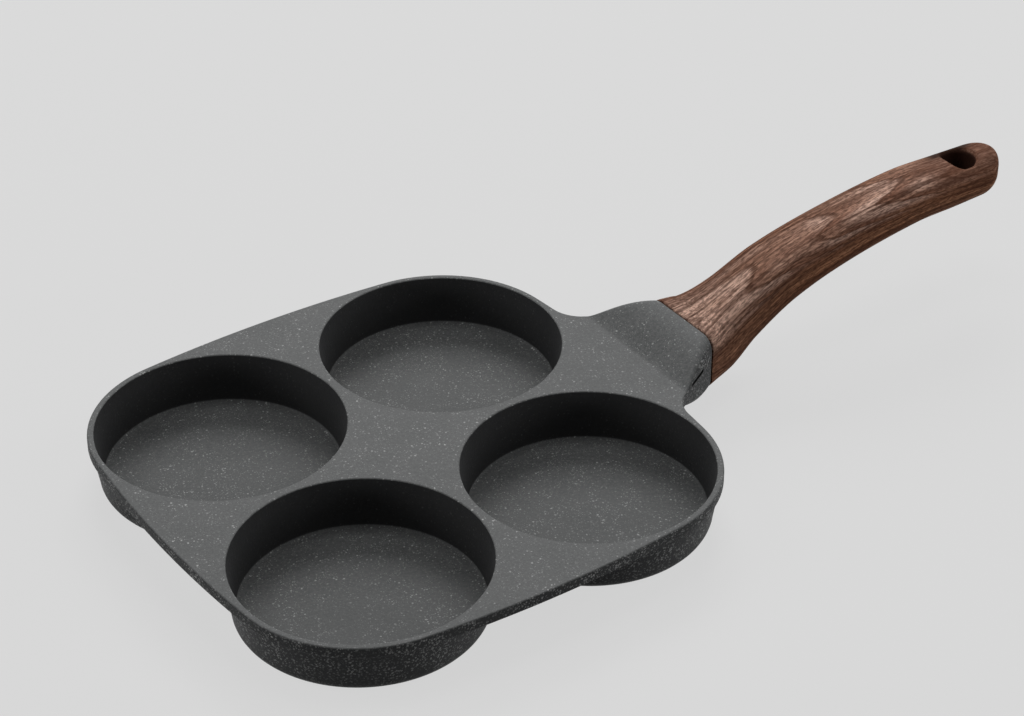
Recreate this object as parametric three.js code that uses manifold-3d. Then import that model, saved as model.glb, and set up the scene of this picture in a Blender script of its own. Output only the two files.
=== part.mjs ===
// Four-cavity burger pan: a cast pan body with a flared neck, and a wood-look handle screwed to its tenon.
// Millimetres, +Z up, +X along the handle. The origin is the middle of the cavities on the deck's top face.
import * as THREE from 'three';
import { mergeVertices } from 'three/addons/utils/BufferGeometryUtils.js';
import Module from 'manifold-3d';

const wasm = await Module();
wasm.setup();

// Cavities and the cups around them
const CAVITY_RADIUS = 50;
const CAVITY_BRIDGE = 4;
const CAVITY_DEPTH = 21;
const CAVITY_DRAFT = 2.4;
const CAVITY_FILLET = 2.5;
const CUP_WALL = 1.8;
const CUP_BASE_ROUND = 5;
const FLOOR_THICKNESS = 2.6;

// Deck that joins the cups
const DECK_THICKNESS = 4.8;
const RIM_LAND = 2.6;
const SIDE_BULGE = 2.7;
const EDGE_ROUND = 0.7;

// Steel disc in each cup base, inside a flat land that the cup stands on
const BASE_LAND = 3.8;
const DISC_THICKNESS = 0.6;
const DISC_INSET = 0.2;

// Neck from the deck to the seam with the handle
const NECK_REACH = 29.7;
const NECK_FLARE = THREE.MathUtils.degToRad(30.5);
const NECK_FILLET = 15;
const NECK_TOP_SWELL = 2;
const NECK_UNDER_SWELL = 1.7;
const NECK_ROUND_GROWTH = 0.8;
const NECK_FOOT_DROP = 1.4;
const NECK_FOOT_RUN = 12;
const SEAM_WIDTH = 41;
const SEAM_HEIGHT = 25.6;
const SEAM_CENTRE_Z = -4;
const SEAM_ROUND = 6;
const SEAM_GAP = 0.5;

// Short groove in each flank of the neck
const GROOVE_LENGTH = 12;
const GROOVE_WIDTH = 0.8;
const GROOVE_DEPTH = 1.2;
const GROOVE_Z = -0.8;
const GROOVE_SETBACK = 13.2;

// Handle: at shares of the run from the seam to the middle of the round tip, its section is given in shares,
// rise of the centre line's whole rise, width and height of the seam's, rounds of its own half height
const HANDLE_LENGTH = 168;
const TIP_RADIUS = 12.4;
const TIP_HALF_HEIGHT = 10.1;
const TIP_ROUND = 8.7;
const TIP_END_ROUND = 3.1;
const TIP_BELLY_ROUND = 10.9;
const TIP_CENTRE_Z = 26.7;
const GRIP_STATIONS = [
  { share: 0.07, rise: 0.058, width: 0.858, height: 1.015, round: 0.554, belly: 0.554 },
  { share: 0.16, rise: 0.259, width: 0.732, height: 0.945, round: 0.678, belly: 0.678 },
  { share: 0.3, rise: 0.583, width: 0.683, height: 0.898, round: 0.73, belly: 0.76 },
  { share: 0.5, rise: 0.827, width: 0.644, height: 0.84, round: 0.72, belly: 0.85 },
  { share: 0.75, rise: 1.005, width: 0.642, height: 0.79, round: 0.82, belly: 0.935 },
  { share: 0.9, rise: 1.005, width: 0.616, height: 0.767, round: 0.78, belly: 0.951 },
];

// Hanging hole: straight across its front, round at its back
const HOLE_BACK_MARGIN = 12.1;
const HOLE_LENGTH = 13.2;
const HOLE_WIDTH = 15.3;
const HOLE_CORNER = 1;

// Tenon on the neck and the screw that holds the handle on it
const TENON_PITCH = THREE.MathUtils.degToRad(19);
const TENON_LENGTH = 30;
const TENON_WIDTH = 20;
const TENON_THICKNESS = 8;
const TENON_RAISE = 1.5;
const TENON_ROOT = 8;
const FIT_GAP = 0.3;
const SCREW_SETBACK = 17;
const SCREW_RADIUS = 2.5;
const SCREW_HEAD_RADIUS = 4.5;
const SCREW_HEAD_HEIGHT = 3;
const SCREW_TIP_COVER = 1;
const DRIVE_ARM = 2.4;
const DRIVE_WIDTH = 1.1;
const DRIVE_DEPTH = 1.8;
const SEAT_WEB = 2.5;
const STACK_GAP = 0.15;
const FLAT_WASHER_RADIUS = 5;
const FLAT_WASHER_THICKNESS = 1;
const SPRING_WASHER_RADIUS = 4.4;
const SPRING_WASHER_THICKNESS = 1.3;
const SPRING_WASHER_SLIT = 0.9;

// Fineness of the facets, and how far a cutting or joining body runs past a face
const ROUND_STEPS = 56;
const CORNER_STEPS = 20;
const SIDE_STEPS = 8;
const FILLET_STEPS = 3;
const SMALL_ROUND_STEPS = 28;
const SECTION_CORNER_STEPS = 6;
const NECK_RINGS = 16;
const NECK_RING_CROWDING = 1.6;
const GRIP_RINGS = 32;
const TIP_RINGS = 8;
const OVERRUN = 1;
const WELD = 1e-4;

// Sizes that follow from the driving dimensions
const HALF_PITCH = CAVITY_RADIUS + CAVITY_BRIDGE / 2;
const CORNER_RADIUS = CAVITY_RADIUS + RIM_LAND;
const SIDE_REACH = HALF_PITCH + CORNER_RADIUS + SIDE_BULGE;
const FLOOR_Z = -CAVITY_DEPTH;
const BASE_Z = FLOOR_Z - FLOOR_THICKNESS;
const CUP_BASE_RADIUS = wallRadius(BASE_Z) + CUP_WALL;
const RECESS_RADIUS = CUP_BASE_RADIUS - CUP_BASE_ROUND - BASE_LAND;
const SEAM_X = SIDE_REACH + NECK_REACH;
const SEAM_HALF_WIDTH = SEAM_WIDTH / 2;
const TIP_X = SEAM_X + HANDLE_LENGTH;
const TIP_CENTRE_X = TIP_X - TIP_RADIUS;

// Turns a closed geometry into a solid whose faces point out, with its shared corners merged
function solidFrom(geometry) {
  const bare = geometry.clone();
  bare.deleteAttribute('normal');
  bare.deleteAttribute('uv');
  const merged = mergeVertices(bare, WELD);
  const position = merged.getAttribute('position');
  const index = merged.getIndex();
  const corners = [];
  let sixVolumes = 0;
  for (let i = 0; i < index.count; i += 3) {
    const triangle = [index.getX(i), index.getX(i + 1), index.getX(i + 2)];
    if (new Set(triangle).size === 3) {
      corners.push(...triangle);
      const [a, b, c] = triangle.map((k) => new THREE.Vector3().fromBufferAttribute(position, k));
      sixVolumes += a.dot(b.cross(c));
    }
  }
  if (sixVolumes < 0) corners.reverse();
  const mesh = new wasm.Mesh({
    numProp: 3,
    vertProperties: Float32Array.from(position.array),
    triVerts: Uint32Array.from(corners),
  });
  return new wasm.Manifold(mesh);
}

function geometryFrom(solid) {
  const mesh = solid.getMesh();
  const geometry = new THREE.BufferGeometry();
  geometry.setAttribute('position', new THREE.BufferAttribute(Float32Array.from(mesh.vertProperties), 3));
  geometry.setIndex(new THREE.BufferAttribute(Uint32Array.from(mesh.triVerts), 1));
  geometry.computeVertexNormals();
  return geometry;
}

function namedMesh(name, solid, material) {
  const mesh = new THREE.Mesh(geometryFrom(solid), material);
  mesh.name = name;
  return mesh;
}

// Points along an arc in a plane, from one angle to another
function arcPoints(centreX, centreY, radius, start, end, steps) {
  const points = [];
  for (let i = 0; i <= steps; i += 1) {
    const angle = start + ((end - start) * i) / steps;
    points.push(new THREE.Vector2(centreX + radius * Math.cos(angle), centreY + radius * Math.sin(angle)));
  }
  return points;
}

// Body of revolution about Z from a profile of radius and height
function turned(profile, steps) {
  return new THREE.LatheGeometry(profile, steps).rotateX(Math.PI / 2);
}

// Round bar along Z between two heights
function bar(radius, low, high, steps) {
  return new THREE.CylinderGeometry(radius, radius, high - low, steps)
    .rotateX(Math.PI / 2)
    .translate(0, 0, (low + high) / 2);
}

// Rectangle about a centre, rounded along its top and its belly, as a ring that is the same left and right
function sectionRing(halfWidth, halfHeight, topRound, bellyRound) {
  const quarter = Math.PI / 2;
  const top = Math.min(topRound, halfWidth);
  const belly = Math.min(bellyRound, halfWidth);
  const sideMiddle = (belly - top) / 2;
  const ring = [];
  const signs = [[1, 1], [-1, 1], [-1, -1], [1, -1]];
  signs.forEach(([across, up], corner) => {
    const start = corner * quarter;
    const radius = up > 0 ? top : belly;
    const sideways = across * (halfWidth - radius);
    const upward = up * (halfHeight - radius);
    ring.push(...arcPoints(sideways, upward, radius, start, start + quarter, SECTION_CORNER_STEPS));
    const between = (corner % 2 === 0) ? [0, up * halfHeight] : [across * halfWidth, sideMiddle];
    ring.push(new THREE.Vector2(...between));
  });
  return ring;
}

// Closed skin through rings of equal count, with a flat face on the first ring and, if asked, on the last
function loft(rings, lastFace) {
  const count = rings[0].length;
  const vertices = rings.flat();
  const triangles = [];
  const faceRing = (offset, ring, turn) => {
    const middle = vertices.length;
    const centre = new THREE.Vector3();
    ring.forEach((point) => centre.addScaledVector(point, 1 / count));
    vertices.push(centre);
    for (let i = 0; i < count; i += 1) {
      const pair = [offset + i, offset + ((i + 1) % count)];
      if (turn) pair.reverse();
      triangles.push(middle, ...pair);
    }
  };
  for (let r = 0; r + 1 < rings.length; r += 1) {
    for (let i = 0; i < count; i += 1) {
      const a = r * count + i;
      const b = r * count + ((i + 1) % count);
      triangles.push(a, b, b + count, a, b + count, a + count);
    }
  }
  faceRing(0, rings[0], true);
  if (lastFace) faceRing((rings.length - 1) * count, rings[rings.length - 1], false);
  const geometry = new THREE.BufferGeometry().setFromPoints(vertices);
  geometry.setIndex(triangles);
  return geometry;
}

// Smooth curve through listed values, with slopes taken from each value's neighbours
function smoothThrough(places, values) {
  const slopes = values.map((value, i) => {
    const before = Math.max(i - 1, 0);
    const after = Math.min(i + 1, values.length - 1);
    return (values[after] - values[before]) / (places[after] - places[before]);
  });
  return (place) => {
    let i = 0;
    while (i < places.length - 2 && place > places[i + 1]) i += 1;
    const span = places[i + 1] - places[i];
    const t = (place - places[i]) / span;
    const rise = t * t * (3 - 2 * t);
    const leave = t * (1 - t) * (1 - t) * span * slopes[i];
    const arrive = t * t * (t - 1) * span * slopes[i + 1];
    return values[i] + (values[i + 1] - values[i]) * rise + leave + arrive;
  };
}

// The bowed side of the deck is an arc that is tangent to both corner circles
const SIDE_DEPTH = SIDE_REACH - HALF_PITCH;
const SIDE_EXCESS = SIDE_DEPTH - CORNER_RADIUS;
const SIDE_RADIUS = (SIDE_DEPTH ** 2 + HALF_PITCH ** 2 - CORNER_RADIUS ** 2) / (2 * SIDE_EXCESS);
const SIDE_CENTRE = SIDE_REACH - SIDE_RADIUS;
const SIDE_ANGLE = Math.atan2(HALF_PITCH, HALF_PITCH - SIDE_CENTRE);

// The neck's flank runs straight from the seam, and a fillet blends it into the bowed side
const FLANK_OUT = new THREE.Vector2(Math.sin(NECK_FLARE), Math.cos(NECK_FLARE));
const FLANK_LEVEL = FLANK_OUT.dot(new THREE.Vector2(SEAM_X, SEAM_HALF_WIDTH));

function filletCentre() {
  const along = new THREE.Vector2(-FLANK_OUT.y, FLANK_OUT.x);
  const nearest = FLANK_OUT.clone().multiplyScalar(FLANK_LEVEL + NECK_FILLET);
  const fromSide = nearest.clone().sub(new THREE.Vector2(SIDE_CENTRE, 0));
  const half = fromSide.dot(along);
  const excess = fromSide.lengthSq() - (SIDE_RADIUS + NECK_FILLET) ** 2;
  const step = -half - Math.sqrt(half * half - excess);
  const other = -half + Math.sqrt(half * half - excess);
  return nearest.addScaledVector(along, Math.abs(step) < Math.abs(other) ? step : other);
}

const FILLET_CENTRE = filletCentre();
const FOOT_X = FILLET_CENTRE.x - FLANK_OUT.x * NECK_FILLET;

function neckHalfWidth(x) {
  return SEAM_HALF_WIDTH + (SEAM_X - x) * Math.tan(NECK_FLARE);
}

// Deck outline: corner arcs about the cavities, bowed sides, and the lobe under the foot of the neck
function deckOutline() {
  const turn = Math.PI / 2;
  const filletStart = Math.atan2(FILLET_CENTRE.y, FILLET_CENTRE.x - SIDE_CENTRE);
  const flankAngle = turn - NECK_FLARE - Math.PI;
  const filletEnd = filletStart - Math.PI;
  const { x, y } = FILLET_CENTRE;
  const fillet = arcPoints(x, y, NECK_FILLET, flankAngle, filletEnd, SIDE_STEPS);
  const upper = [...fillet, ...arcPoints(SIDE_CENTRE, 0, SIDE_RADIUS, filletStart, SIDE_ANGLE, FILLET_STEPS)];
  const outline = [...upper];
  for (let side = 0; side < 4; side += 1) {
    const middle = new THREE.Vector2(HALF_PITCH, HALF_PITCH).rotateAround(new THREE.Vector2(), side * turn);
    const start = side * turn + SIDE_ANGLE;
    const end = (side + 1) * turn - SIDE_ANGLE;
    outline.push(...arcPoints(middle.x, middle.y, CORNER_RADIUS, start, end, CORNER_STEPS).slice(1));
    if (side < 3) {
      const bow = new THREE.Vector2(SIDE_CENTRE, 0).rotateAround(new THREE.Vector2(), (side + 1) * turn);
      const angle = (side + 1) * turn;
      const bowEnds = [angle - SIDE_ANGLE, angle + SIDE_ANGLE];
      outline.push(...arcPoints(bow.x, bow.y, SIDE_RADIUS, ...bowEnds, SIDE_STEPS).slice(1));
    }
  }
  const lower = upper.map((point) => new THREE.Vector2(point.x, -point.y)).reverse();
  outline.push(...lower.slice(1));
  return outline;
}

function deck() {
  const geometry = new THREE.ExtrudeGeometry(new THREE.Shape(deckOutline()), {
    depth: DECK_THICKNESS - 2 * EDGE_ROUND,
    bevelEnabled: true,
    bevelThickness: EDGE_ROUND,
    bevelSize: EDGE_ROUND,
    bevelOffset: -EDGE_ROUND,
    bevelSegments: 1,
  });
  return solidFrom(geometry.translate(0, 0, EDGE_ROUND - DECK_THICKNESS));
}

// Radius of the drafted cavity wall at a height
function wallRadius(z) {
  return CAVITY_RADIUS + (z / CAVITY_DEPTH) * CAVITY_DRAFT;
}

function cavityTool() {
  const edge = wallRadius(FLOOR_Z) - CAVITY_FILLET;
  const bend = arcPoints(edge, FLOOR_Z + CAVITY_FILLET, CAVITY_FILLET, -Math.PI / 2, 0, FILLET_STEPS);
  const profile = [
    new THREE.Vector2(0, FLOOR_Z),
    ...bend,
    new THREE.Vector2(CAVITY_RADIUS, 0),
    new THREE.Vector2(wallRadius(OVERRUN), OVERRUN),
    new THREE.Vector2(0, OVERRUN),
  ];
  return solidFrom(turned(profile, ROUND_STEPS));
}

// Outside of a cup, from inside the deck down to its base, with the recess for its steel disc
function cupBody() {
  const top = -DECK_THICKNESS / 2;
  const edge = CUP_BASE_RADIUS - CUP_BASE_ROUND;
  const bend = arcPoints(edge, BASE_Z + CUP_BASE_ROUND, CUP_BASE_ROUND, 0, -Math.PI / 2, FILLET_STEPS);
  const recessZ = BASE_Z + DISC_INSET + DISC_THICKNESS + FIT_GAP;
  const profile = [
    new THREE.Vector2(0, top),
    new THREE.Vector2(wallRadius(top) + CUP_WALL, top),
    ...bend,
    new THREE.Vector2(RECESS_RADIUS, BASE_Z),
    new THREE.Vector2(RECESS_RADIUS, recessZ),
    new THREE.Vector2(0, recessZ),
  ];
  return solidFrom(turned(profile, ROUND_STEPS));
}

// Neck: sections across X that leave the deck's underside and swell from the deck's edge to the seam
function neck() {
  const seamTop = SEAM_CENTRE_Z + SEAM_HEIGHT / 2;
  const seamUnder = SEAM_CENTRE_Z - SEAM_HEIGHT / 2;
  const footUnder = -DECK_THICKNESS - NECK_FOOT_DROP;
  const inner = FOOT_X - NECK_FOOT_RUN;
  const rings = [];
  const addRing = (x, halfWidth, top, under, round) => {
    const middle = (top + under) / 2;
    const ring = sectionRing(halfWidth, (top - under) / 2, round, round);
    rings.push(ring.map((point) => new THREE.Vector3(x, point.x, middle + point.y)));
  };
  const innerHalfWidth = neckHalfWidth(FOOT_X) - DECK_THICKNESS;
  addRing(inner, innerHalfWidth, -EDGE_ROUND, EDGE_ROUND - DECK_THICKNESS, EDGE_ROUND);
  for (let i = 0; i <= NECK_RINGS; i += 1) {
    const share = (i / NECK_RINGS) ** NECK_RING_CROWDING;
    const x = THREE.MathUtils.lerp(FOOT_X, SEAM_X, share);
    const top = seamTop * (1 - (1 - share) ** NECK_TOP_SWELL);
    const under = THREE.MathUtils.lerp(footUnder, seamUnder, 1 - (1 - share) ** NECK_UNDER_SWELL);
    const round = THREE.MathUtils.lerp(EDGE_ROUND, SEAM_ROUND, share ** NECK_ROUND_GROWTH);
    addRing(x, neckHalfWidth(x), top, under, round);
  }
  return solidFrom(loft(rings, true));
}

// Groove in the flank on one side, cut straight along the flank
function grooveTool(side) {
  const x = SEAM_X - GROOVE_SETBACK;
  const box = new THREE.BoxGeometry(GROOVE_LENGTH, 2 * GROOVE_DEPTH, GROOVE_WIDTH);
  box.rotateZ(-side * NECK_FLARE);
  return solidFrom(box.translate(x, side * neckHalfWidth(x), GROOVE_Z));
}

// Frame of the tenon, pitched up from the middle of the seam along the handle
const TENON_FRAME = new THREE.Matrix4()
  .makeTranslation(SEAM_X, 0, SEAM_CENTRE_Z)
  .multiply(new THREE.Matrix4().makeRotationY(-TENON_PITCH));

const TENON_UNDER = TENON_RAISE - TENON_THICKNESS / 2;
const TENON_TOP = TENON_RAISE + TENON_THICKNESS / 2;

// Bar of the tenon's section, grown by a gap on every side, between two distances from the seam
function tenonBar(from, to, gap) {
  const box = new THREE.BoxGeometry(to - from, TENON_WIDTH + 2 * gap, TENON_THICKNESS + 2 * gap);
  box.translate((from + to) / 2, 0, TENON_RAISE);
  return solidFrom(box.applyMatrix4(TENON_FRAME));
}

// Round cut on the screw's axis, between two heights of the tenon's frame
function screwTool(radius, low, high) {
  const tool = bar(radius, low, high, SMALL_ROUND_STEPS).translate(SCREW_SETBACK, 0, 0);
  return solidFrom(tool.applyMatrix4(TENON_FRAME));
}

function panBody() {
  let body = deck().add(neck());
  const cup = cupBody();
  const cavity = cavityTool();
  const places = cavityPlaces();
  places.forEach(([x, y]) => {
    body = body.add(cup.translate([x, y, 0]));
  });
  places.forEach(([x, y]) => {
    body = body.subtract(cavity.translate([x, y, 0]));
  });
  body = body.subtract(grooveTool(1)).subtract(grooveTool(-1));
  const tenon = tenonBar(-TENON_ROOT, TENON_LENGTH, 0);
  const thread = screwTool(SCREW_RADIUS + FIT_GAP, TENON_UNDER - OVERRUN, TENON_TOP + OVERRUN);
  return body.add(tenon).subtract(thread);
}

function cavityPlaces() {
  return [[-1, -1], [1, -1], [1, 1], [-1, 1]].map(([x, y]) => [x * HALF_PITCH, y * HALF_PITCH]);
}

// Skin of the handle: upright section at the seam, sections square to the centre line, and a round tip
function handleSkin() {
  const rootRound = SEAM_ROUND / (SEAM_HEIGHT / 2);
  const root = { share: 0, rise: 0, width: 1, height: 1, round: rootRound, belly: rootRound };
  const tip = {
    share: 1,
    rise: 1,
    width: TIP_RADIUS / SEAM_HALF_WIDTH,
    height: TIP_HALF_HEIGHT / (SEAM_HEIGHT / 2),
    round: TIP_ROUND / TIP_HALF_HEIGHT,
    belly: TIP_BELLY_ROUND / TIP_HALF_HEIGHT,
  };
  const stations = [root, ...GRIP_STATIONS, tip];
  const start = SEAM_X + SEAM_GAP;
  const places = stations.map((station) => THREE.MathUtils.lerp(start, TIP_CENTRE_X, station.share));
  const curveOf = (key) => smoothThrough(places, stations.map((station) => station[key]));
  const rise = curveOf('rise');
  const width = curveOf('width');
  const height = curveOf('height');
  const round = curveOf('round');
  const belly = curveOf('belly');
  const centre = (x) => THREE.MathUtils.lerp(SEAM_CENTRE_Z, TIP_CENTRE_Z, rise(x));
  const upright = places[1] - places[0];
  const tiltAt = (x) => {
    const slope = Math.atan((centre(x + WELD) - centre(x - WELD)) / (2 * WELD));
    return slope * THREE.MathUtils.smoothstep(x - start, 0, upright);
  };
  const ringAt = (x, swing) => {
    const tilt = tiltAt(Math.min(x, TIP_CENTRE_X - WELD));
    const halfHeight = (SEAM_HEIGHT / 2) * height(x);
    const topRound = THREE.MathUtils.lerp(halfHeight * round(x), TIP_END_ROUND, Math.sin(swing) ** 2);
    const section = sectionRing(SEAM_HALF_WIDTH * width(x), halfHeight, topRound, halfHeight * belly(x));
    return section.map((point) => {
      const forward = Math.abs(point.x) * Math.sin(swing);
      return new THREE.Vector3(
        x + forward * Math.cos(tilt) - point.y * Math.sin(tilt),
        point.x * Math.cos(swing),
        centre(x) + forward * Math.sin(tilt) + point.y * Math.cos(tilt),
      );
    });
  };
  const rings = [];
  for (let i = 0; i <= GRIP_RINGS; i += 1) {
    rings.push(ringAt(THREE.MathUtils.lerp(start, TIP_CENTRE_X, i / GRIP_RINGS), 0));
  }
  for (let i = 1; i <= TIP_RINGS; i += 1) {
    rings.push(ringAt(TIP_CENTRE_X, (Math.PI / 2) * (i / TIP_RINGS)));
  }
  return solidFrom(loft(rings, false));
}

function holeTool() {
  const back = TIP_X - HOLE_BACK_MARGIN;
  const front = back - HOLE_LENGTH;
  const half = HOLE_WIDTH / 2;
  const outline = [
    ...arcPoints(back - half, 0, half, -Math.PI / 2, Math.PI / 2, ROUND_STEPS / 4),
    ...arcPoints(front + HOLE_CORNER, half - HOLE_CORNER, HOLE_CORNER, Math.PI / 2, Math.PI, FILLET_STEPS),
    ...arcPoints(front + HOLE_CORNER, HOLE_CORNER - half, HOLE_CORNER, Math.PI, 1.5 * Math.PI, FILLET_STEPS),
  ];
  const depth = 2 * (TIP_RADIUS + TIP_HALF_HEIGHT);
  const geometry = new THREE.ExtrudeGeometry(new THREE.Shape(outline), { depth, bevelEnabled: false });
  return solidFrom(geometry.translate(0, 0, TIP_CENTRE_Z - depth / 2));
}

// Seat of the washers in the handle, under the tenon
const SEAT_Z = TENON_UNDER - FIT_GAP - SEAT_WEB;

function handle() {
  const socket = tenonBar(-TENON_ROOT, TENON_LENGTH + FIT_GAP, FIT_GAP);
  const clearance = screwTool(SCREW_RADIUS + FIT_GAP, SEAT_Z - OVERRUN, TENON_RAISE);
  const counterbore = screwTool(FLAT_WASHER_RADIUS + FIT_GAP, SEAT_Z - SEAM_HEIGHT, SEAT_Z);
  return handleSkin().subtract(holeTool()).subtract(socket).subtract(clearance).subtract(counterbore);
}

// Stack on the screw's axis, from the seat down
const FLAT_WASHER_Z = SEAT_Z - STACK_GAP - FLAT_WASHER_THICKNESS;
const SPRING_WASHER_Z = FLAT_WASHER_Z - STACK_GAP - SPRING_WASHER_THICKNESS;
const SCREW_HEAD_Z = SPRING_WASHER_Z - STACK_GAP - SCREW_HEAD_HEIGHT;

function washer(radius, low, thickness) {
  const bore = SCREW_RADIUS + FIT_GAP;
  const profile = [
    new THREE.Vector2(bore, low),
    new THREE.Vector2(radius, low),
    new THREE.Vector2(radius, low + thickness),
    new THREE.Vector2(bore, low + thickness),
    new THREE.Vector2(bore, low),
  ];
  return solidFrom(turned(profile, SMALL_ROUND_STEPS));
}

function springWasher() {
  const slitHeight = 2 * SPRING_WASHER_THICKNESS;
  const slit = new THREE.BoxGeometry(2 * SPRING_WASHER_RADIUS, SPRING_WASHER_SLIT, slitHeight);
  slit.translate(SPRING_WASHER_RADIUS, 0, SPRING_WASHER_Z + SPRING_WASHER_THICKNESS / 2);
  return washer(SPRING_WASHER_RADIUS, SPRING_WASHER_Z, SPRING_WASHER_THICKNESS).subtract(solidFrom(slit));
}

function handleScrew() {
  const shoulder = SCREW_HEAD_Z + SCREW_HEAD_HEIGHT;
  const end = TENON_TOP - SCREW_TIP_COVER;
  const profile = [
    new THREE.Vector2(0, SCREW_HEAD_Z),
    new THREE.Vector2(SCREW_HEAD_RADIUS - EDGE_ROUND, SCREW_HEAD_Z),
    new THREE.Vector2(SCREW_HEAD_RADIUS, SCREW_HEAD_Z + EDGE_ROUND),
    new THREE.Vector2(SCREW_HEAD_RADIUS, shoulder),
    new THREE.Vector2(SCREW_RADIUS, shoulder),
    new THREE.Vector2(SCREW_RADIUS, end - EDGE_ROUND),
    new THREE.Vector2(SCREW_RADIUS - EDGE_ROUND, end),
    new THREE.Vector2(0, end),
  ];
  let screw = solidFrom(turned(profile, SMALL_ROUND_STEPS));
  [0, Math.PI / 2].forEach((angle) => {
    const arm = new THREE.BoxGeometry(2 * DRIVE_ARM, DRIVE_WIDTH, 2 * DRIVE_DEPTH).rotateZ(angle);
    screw = screw.subtract(solidFrom(arm.translate(0, 0, SCREW_HEAD_Z)));
  });
  return screw;
}

function baseDisc() {
  const low = BASE_Z + DISC_INSET;
  return solidFrom(bar(RECESS_RADIUS - FIT_GAP, low, low + DISC_THICKNESS, ROUND_STEPS));
}

const coat = new THREE.MeshStandardMaterial({ color: 0x4a4c4d, roughness: 0.6, metalness: 0.1 });
const woodLook = new THREE.MeshStandardMaterial({ color: 0x5d4238, roughness: 0.5, metalness: 0 });
const steel = new THREE.MeshStandardMaterial({ color: 0xb8babd, roughness: 0.35, metalness: 0.9 });

const pan = new THREE.Group();
pan.add(namedMesh('pan_body', panBody(), coat));
pan.add(namedMesh('handle', handle(), woodLook));

const fastening = new THREE.Group();
TENON_FRAME.decompose(fastening.position, fastening.quaternion, fastening.scale);
const screwAxis = new THREE.Group();
screwAxis.position.x = SCREW_SETBACK;
screwAxis.add(namedMesh('handle_screw', handleScrew(), steel));
screwAxis.add(namedMesh('spring_washer', springWasher(), steel));
const flatWasher = washer(FLAT_WASHER_RADIUS, FLAT_WASHER_Z, FLAT_WASHER_THICKNESS);
screwAxis.add(namedMesh('flat_washer', flatWasher, steel));
fastening.add(screwAxis);
pan.add(fastening);

cavityPlaces().forEach(([x, y], i) => {
  const disc = namedMesh(`base_disc_${i + 1}`, baseDisc(), steel);
  disc.position.set(x, y, 0);
  pan.add(disc);
});

export default pan;
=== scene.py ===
# Four-cavity burger pan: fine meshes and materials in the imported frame, studio light and the photo's view
import itertools
import math

import bmesh
import bpy
import numpy as np
from mathutils import Matrix, Vector
from mathutils.geometry import delaunay_2d_cdt


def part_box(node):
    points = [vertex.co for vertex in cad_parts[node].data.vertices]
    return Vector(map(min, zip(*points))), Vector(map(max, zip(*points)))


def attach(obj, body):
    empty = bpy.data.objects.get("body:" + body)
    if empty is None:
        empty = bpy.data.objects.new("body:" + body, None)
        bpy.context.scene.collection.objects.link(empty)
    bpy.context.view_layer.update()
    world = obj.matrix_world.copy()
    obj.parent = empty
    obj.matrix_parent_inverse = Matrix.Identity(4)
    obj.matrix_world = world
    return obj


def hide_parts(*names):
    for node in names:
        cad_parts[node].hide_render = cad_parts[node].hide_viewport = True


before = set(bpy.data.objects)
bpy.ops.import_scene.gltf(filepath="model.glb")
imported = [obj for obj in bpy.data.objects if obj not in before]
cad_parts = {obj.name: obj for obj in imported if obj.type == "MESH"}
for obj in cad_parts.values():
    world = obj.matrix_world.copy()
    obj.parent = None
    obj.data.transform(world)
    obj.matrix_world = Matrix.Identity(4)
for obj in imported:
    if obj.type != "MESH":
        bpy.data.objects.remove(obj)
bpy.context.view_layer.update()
MM = 0.001

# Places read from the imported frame
PAN_LOW, PAN_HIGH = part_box("pan_body")
HANDLE_LOW, HANDLE_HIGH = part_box("handle")
DISC_LOW, DISC_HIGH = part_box("base_disc_1")
BASE_Z = PAN_LOW.z
SIDE_REACH = PAN_HIGH.y
HANDLE_START = HANDLE_LOW.x
DISC_RADIUS = (DISC_HIGH.x - DISC_LOW.x) / 2
DISC_UNDER = DISC_LOW.z
DISC_TOP = DISC_HIGH.z

# Cavities and cups
CAVITY_RADIUS = 50 * MM
CAVITY_BRIDGE = 4 * MM
CAVITY_DEPTH = 21 * MM
CAVITY_DRAFT = 2.4 * MM
CAVITY_FILLET = 1.6 * MM
RIM_ROUND = 0.55 * MM
CUP_WALL = 1.8 * MM
CUP_TOP_FILLET = 0.4 * MM
CUP_BASE_ROUND = 5 * MM
SALT_FADE = 11 * MM
RECESS_GAP = 0.3 * MM
RECESS_EDGE = 0.25 * MM

# Deck
DECK_THICKNESS = 4.8 * MM
RIM_LAND = 2.6 * MM
EDGE_ROUND = 0.7 * MM

# Neck
NECK_REACH = 29.7 * MM
NECK_FLARE = math.radians(30.5)
NECK_FILLET = 15 * MM
NECK_TOP_SWELL = 2
NECK_CREASE_SHARE = 0.2
NECK_UNDER_SWELL = 1.7
NECK_ROUND_GROWTH = 0.8
NECK_FOOT_DROP = 1.4 * MM
NECK_FOOT_RUN = 12 * MM
NECK_FOOT_FADE = 7 * MM
SEAM_WIDTH = 41 * MM
SEAM_HEIGHT = 25.6 * MM
SEAM_CENTRE_Z = -4 * MM
SEAM_ROUND = 6 * MM
SEAM_EDGE = 0.4 * MM
GROOVE_LENGTH = 12 * MM
GROOVE_WIDTH = 1.5 * MM
GROOVE_DEPTH = 3 * MM
GROOVE_Z = -0.3 * MM
GROOVE_SETBACK = 13.2 * MM
GROOVE_LIP = 0.15 * MM
GROOVE_SLOPE = 0.1 * MM

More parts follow.
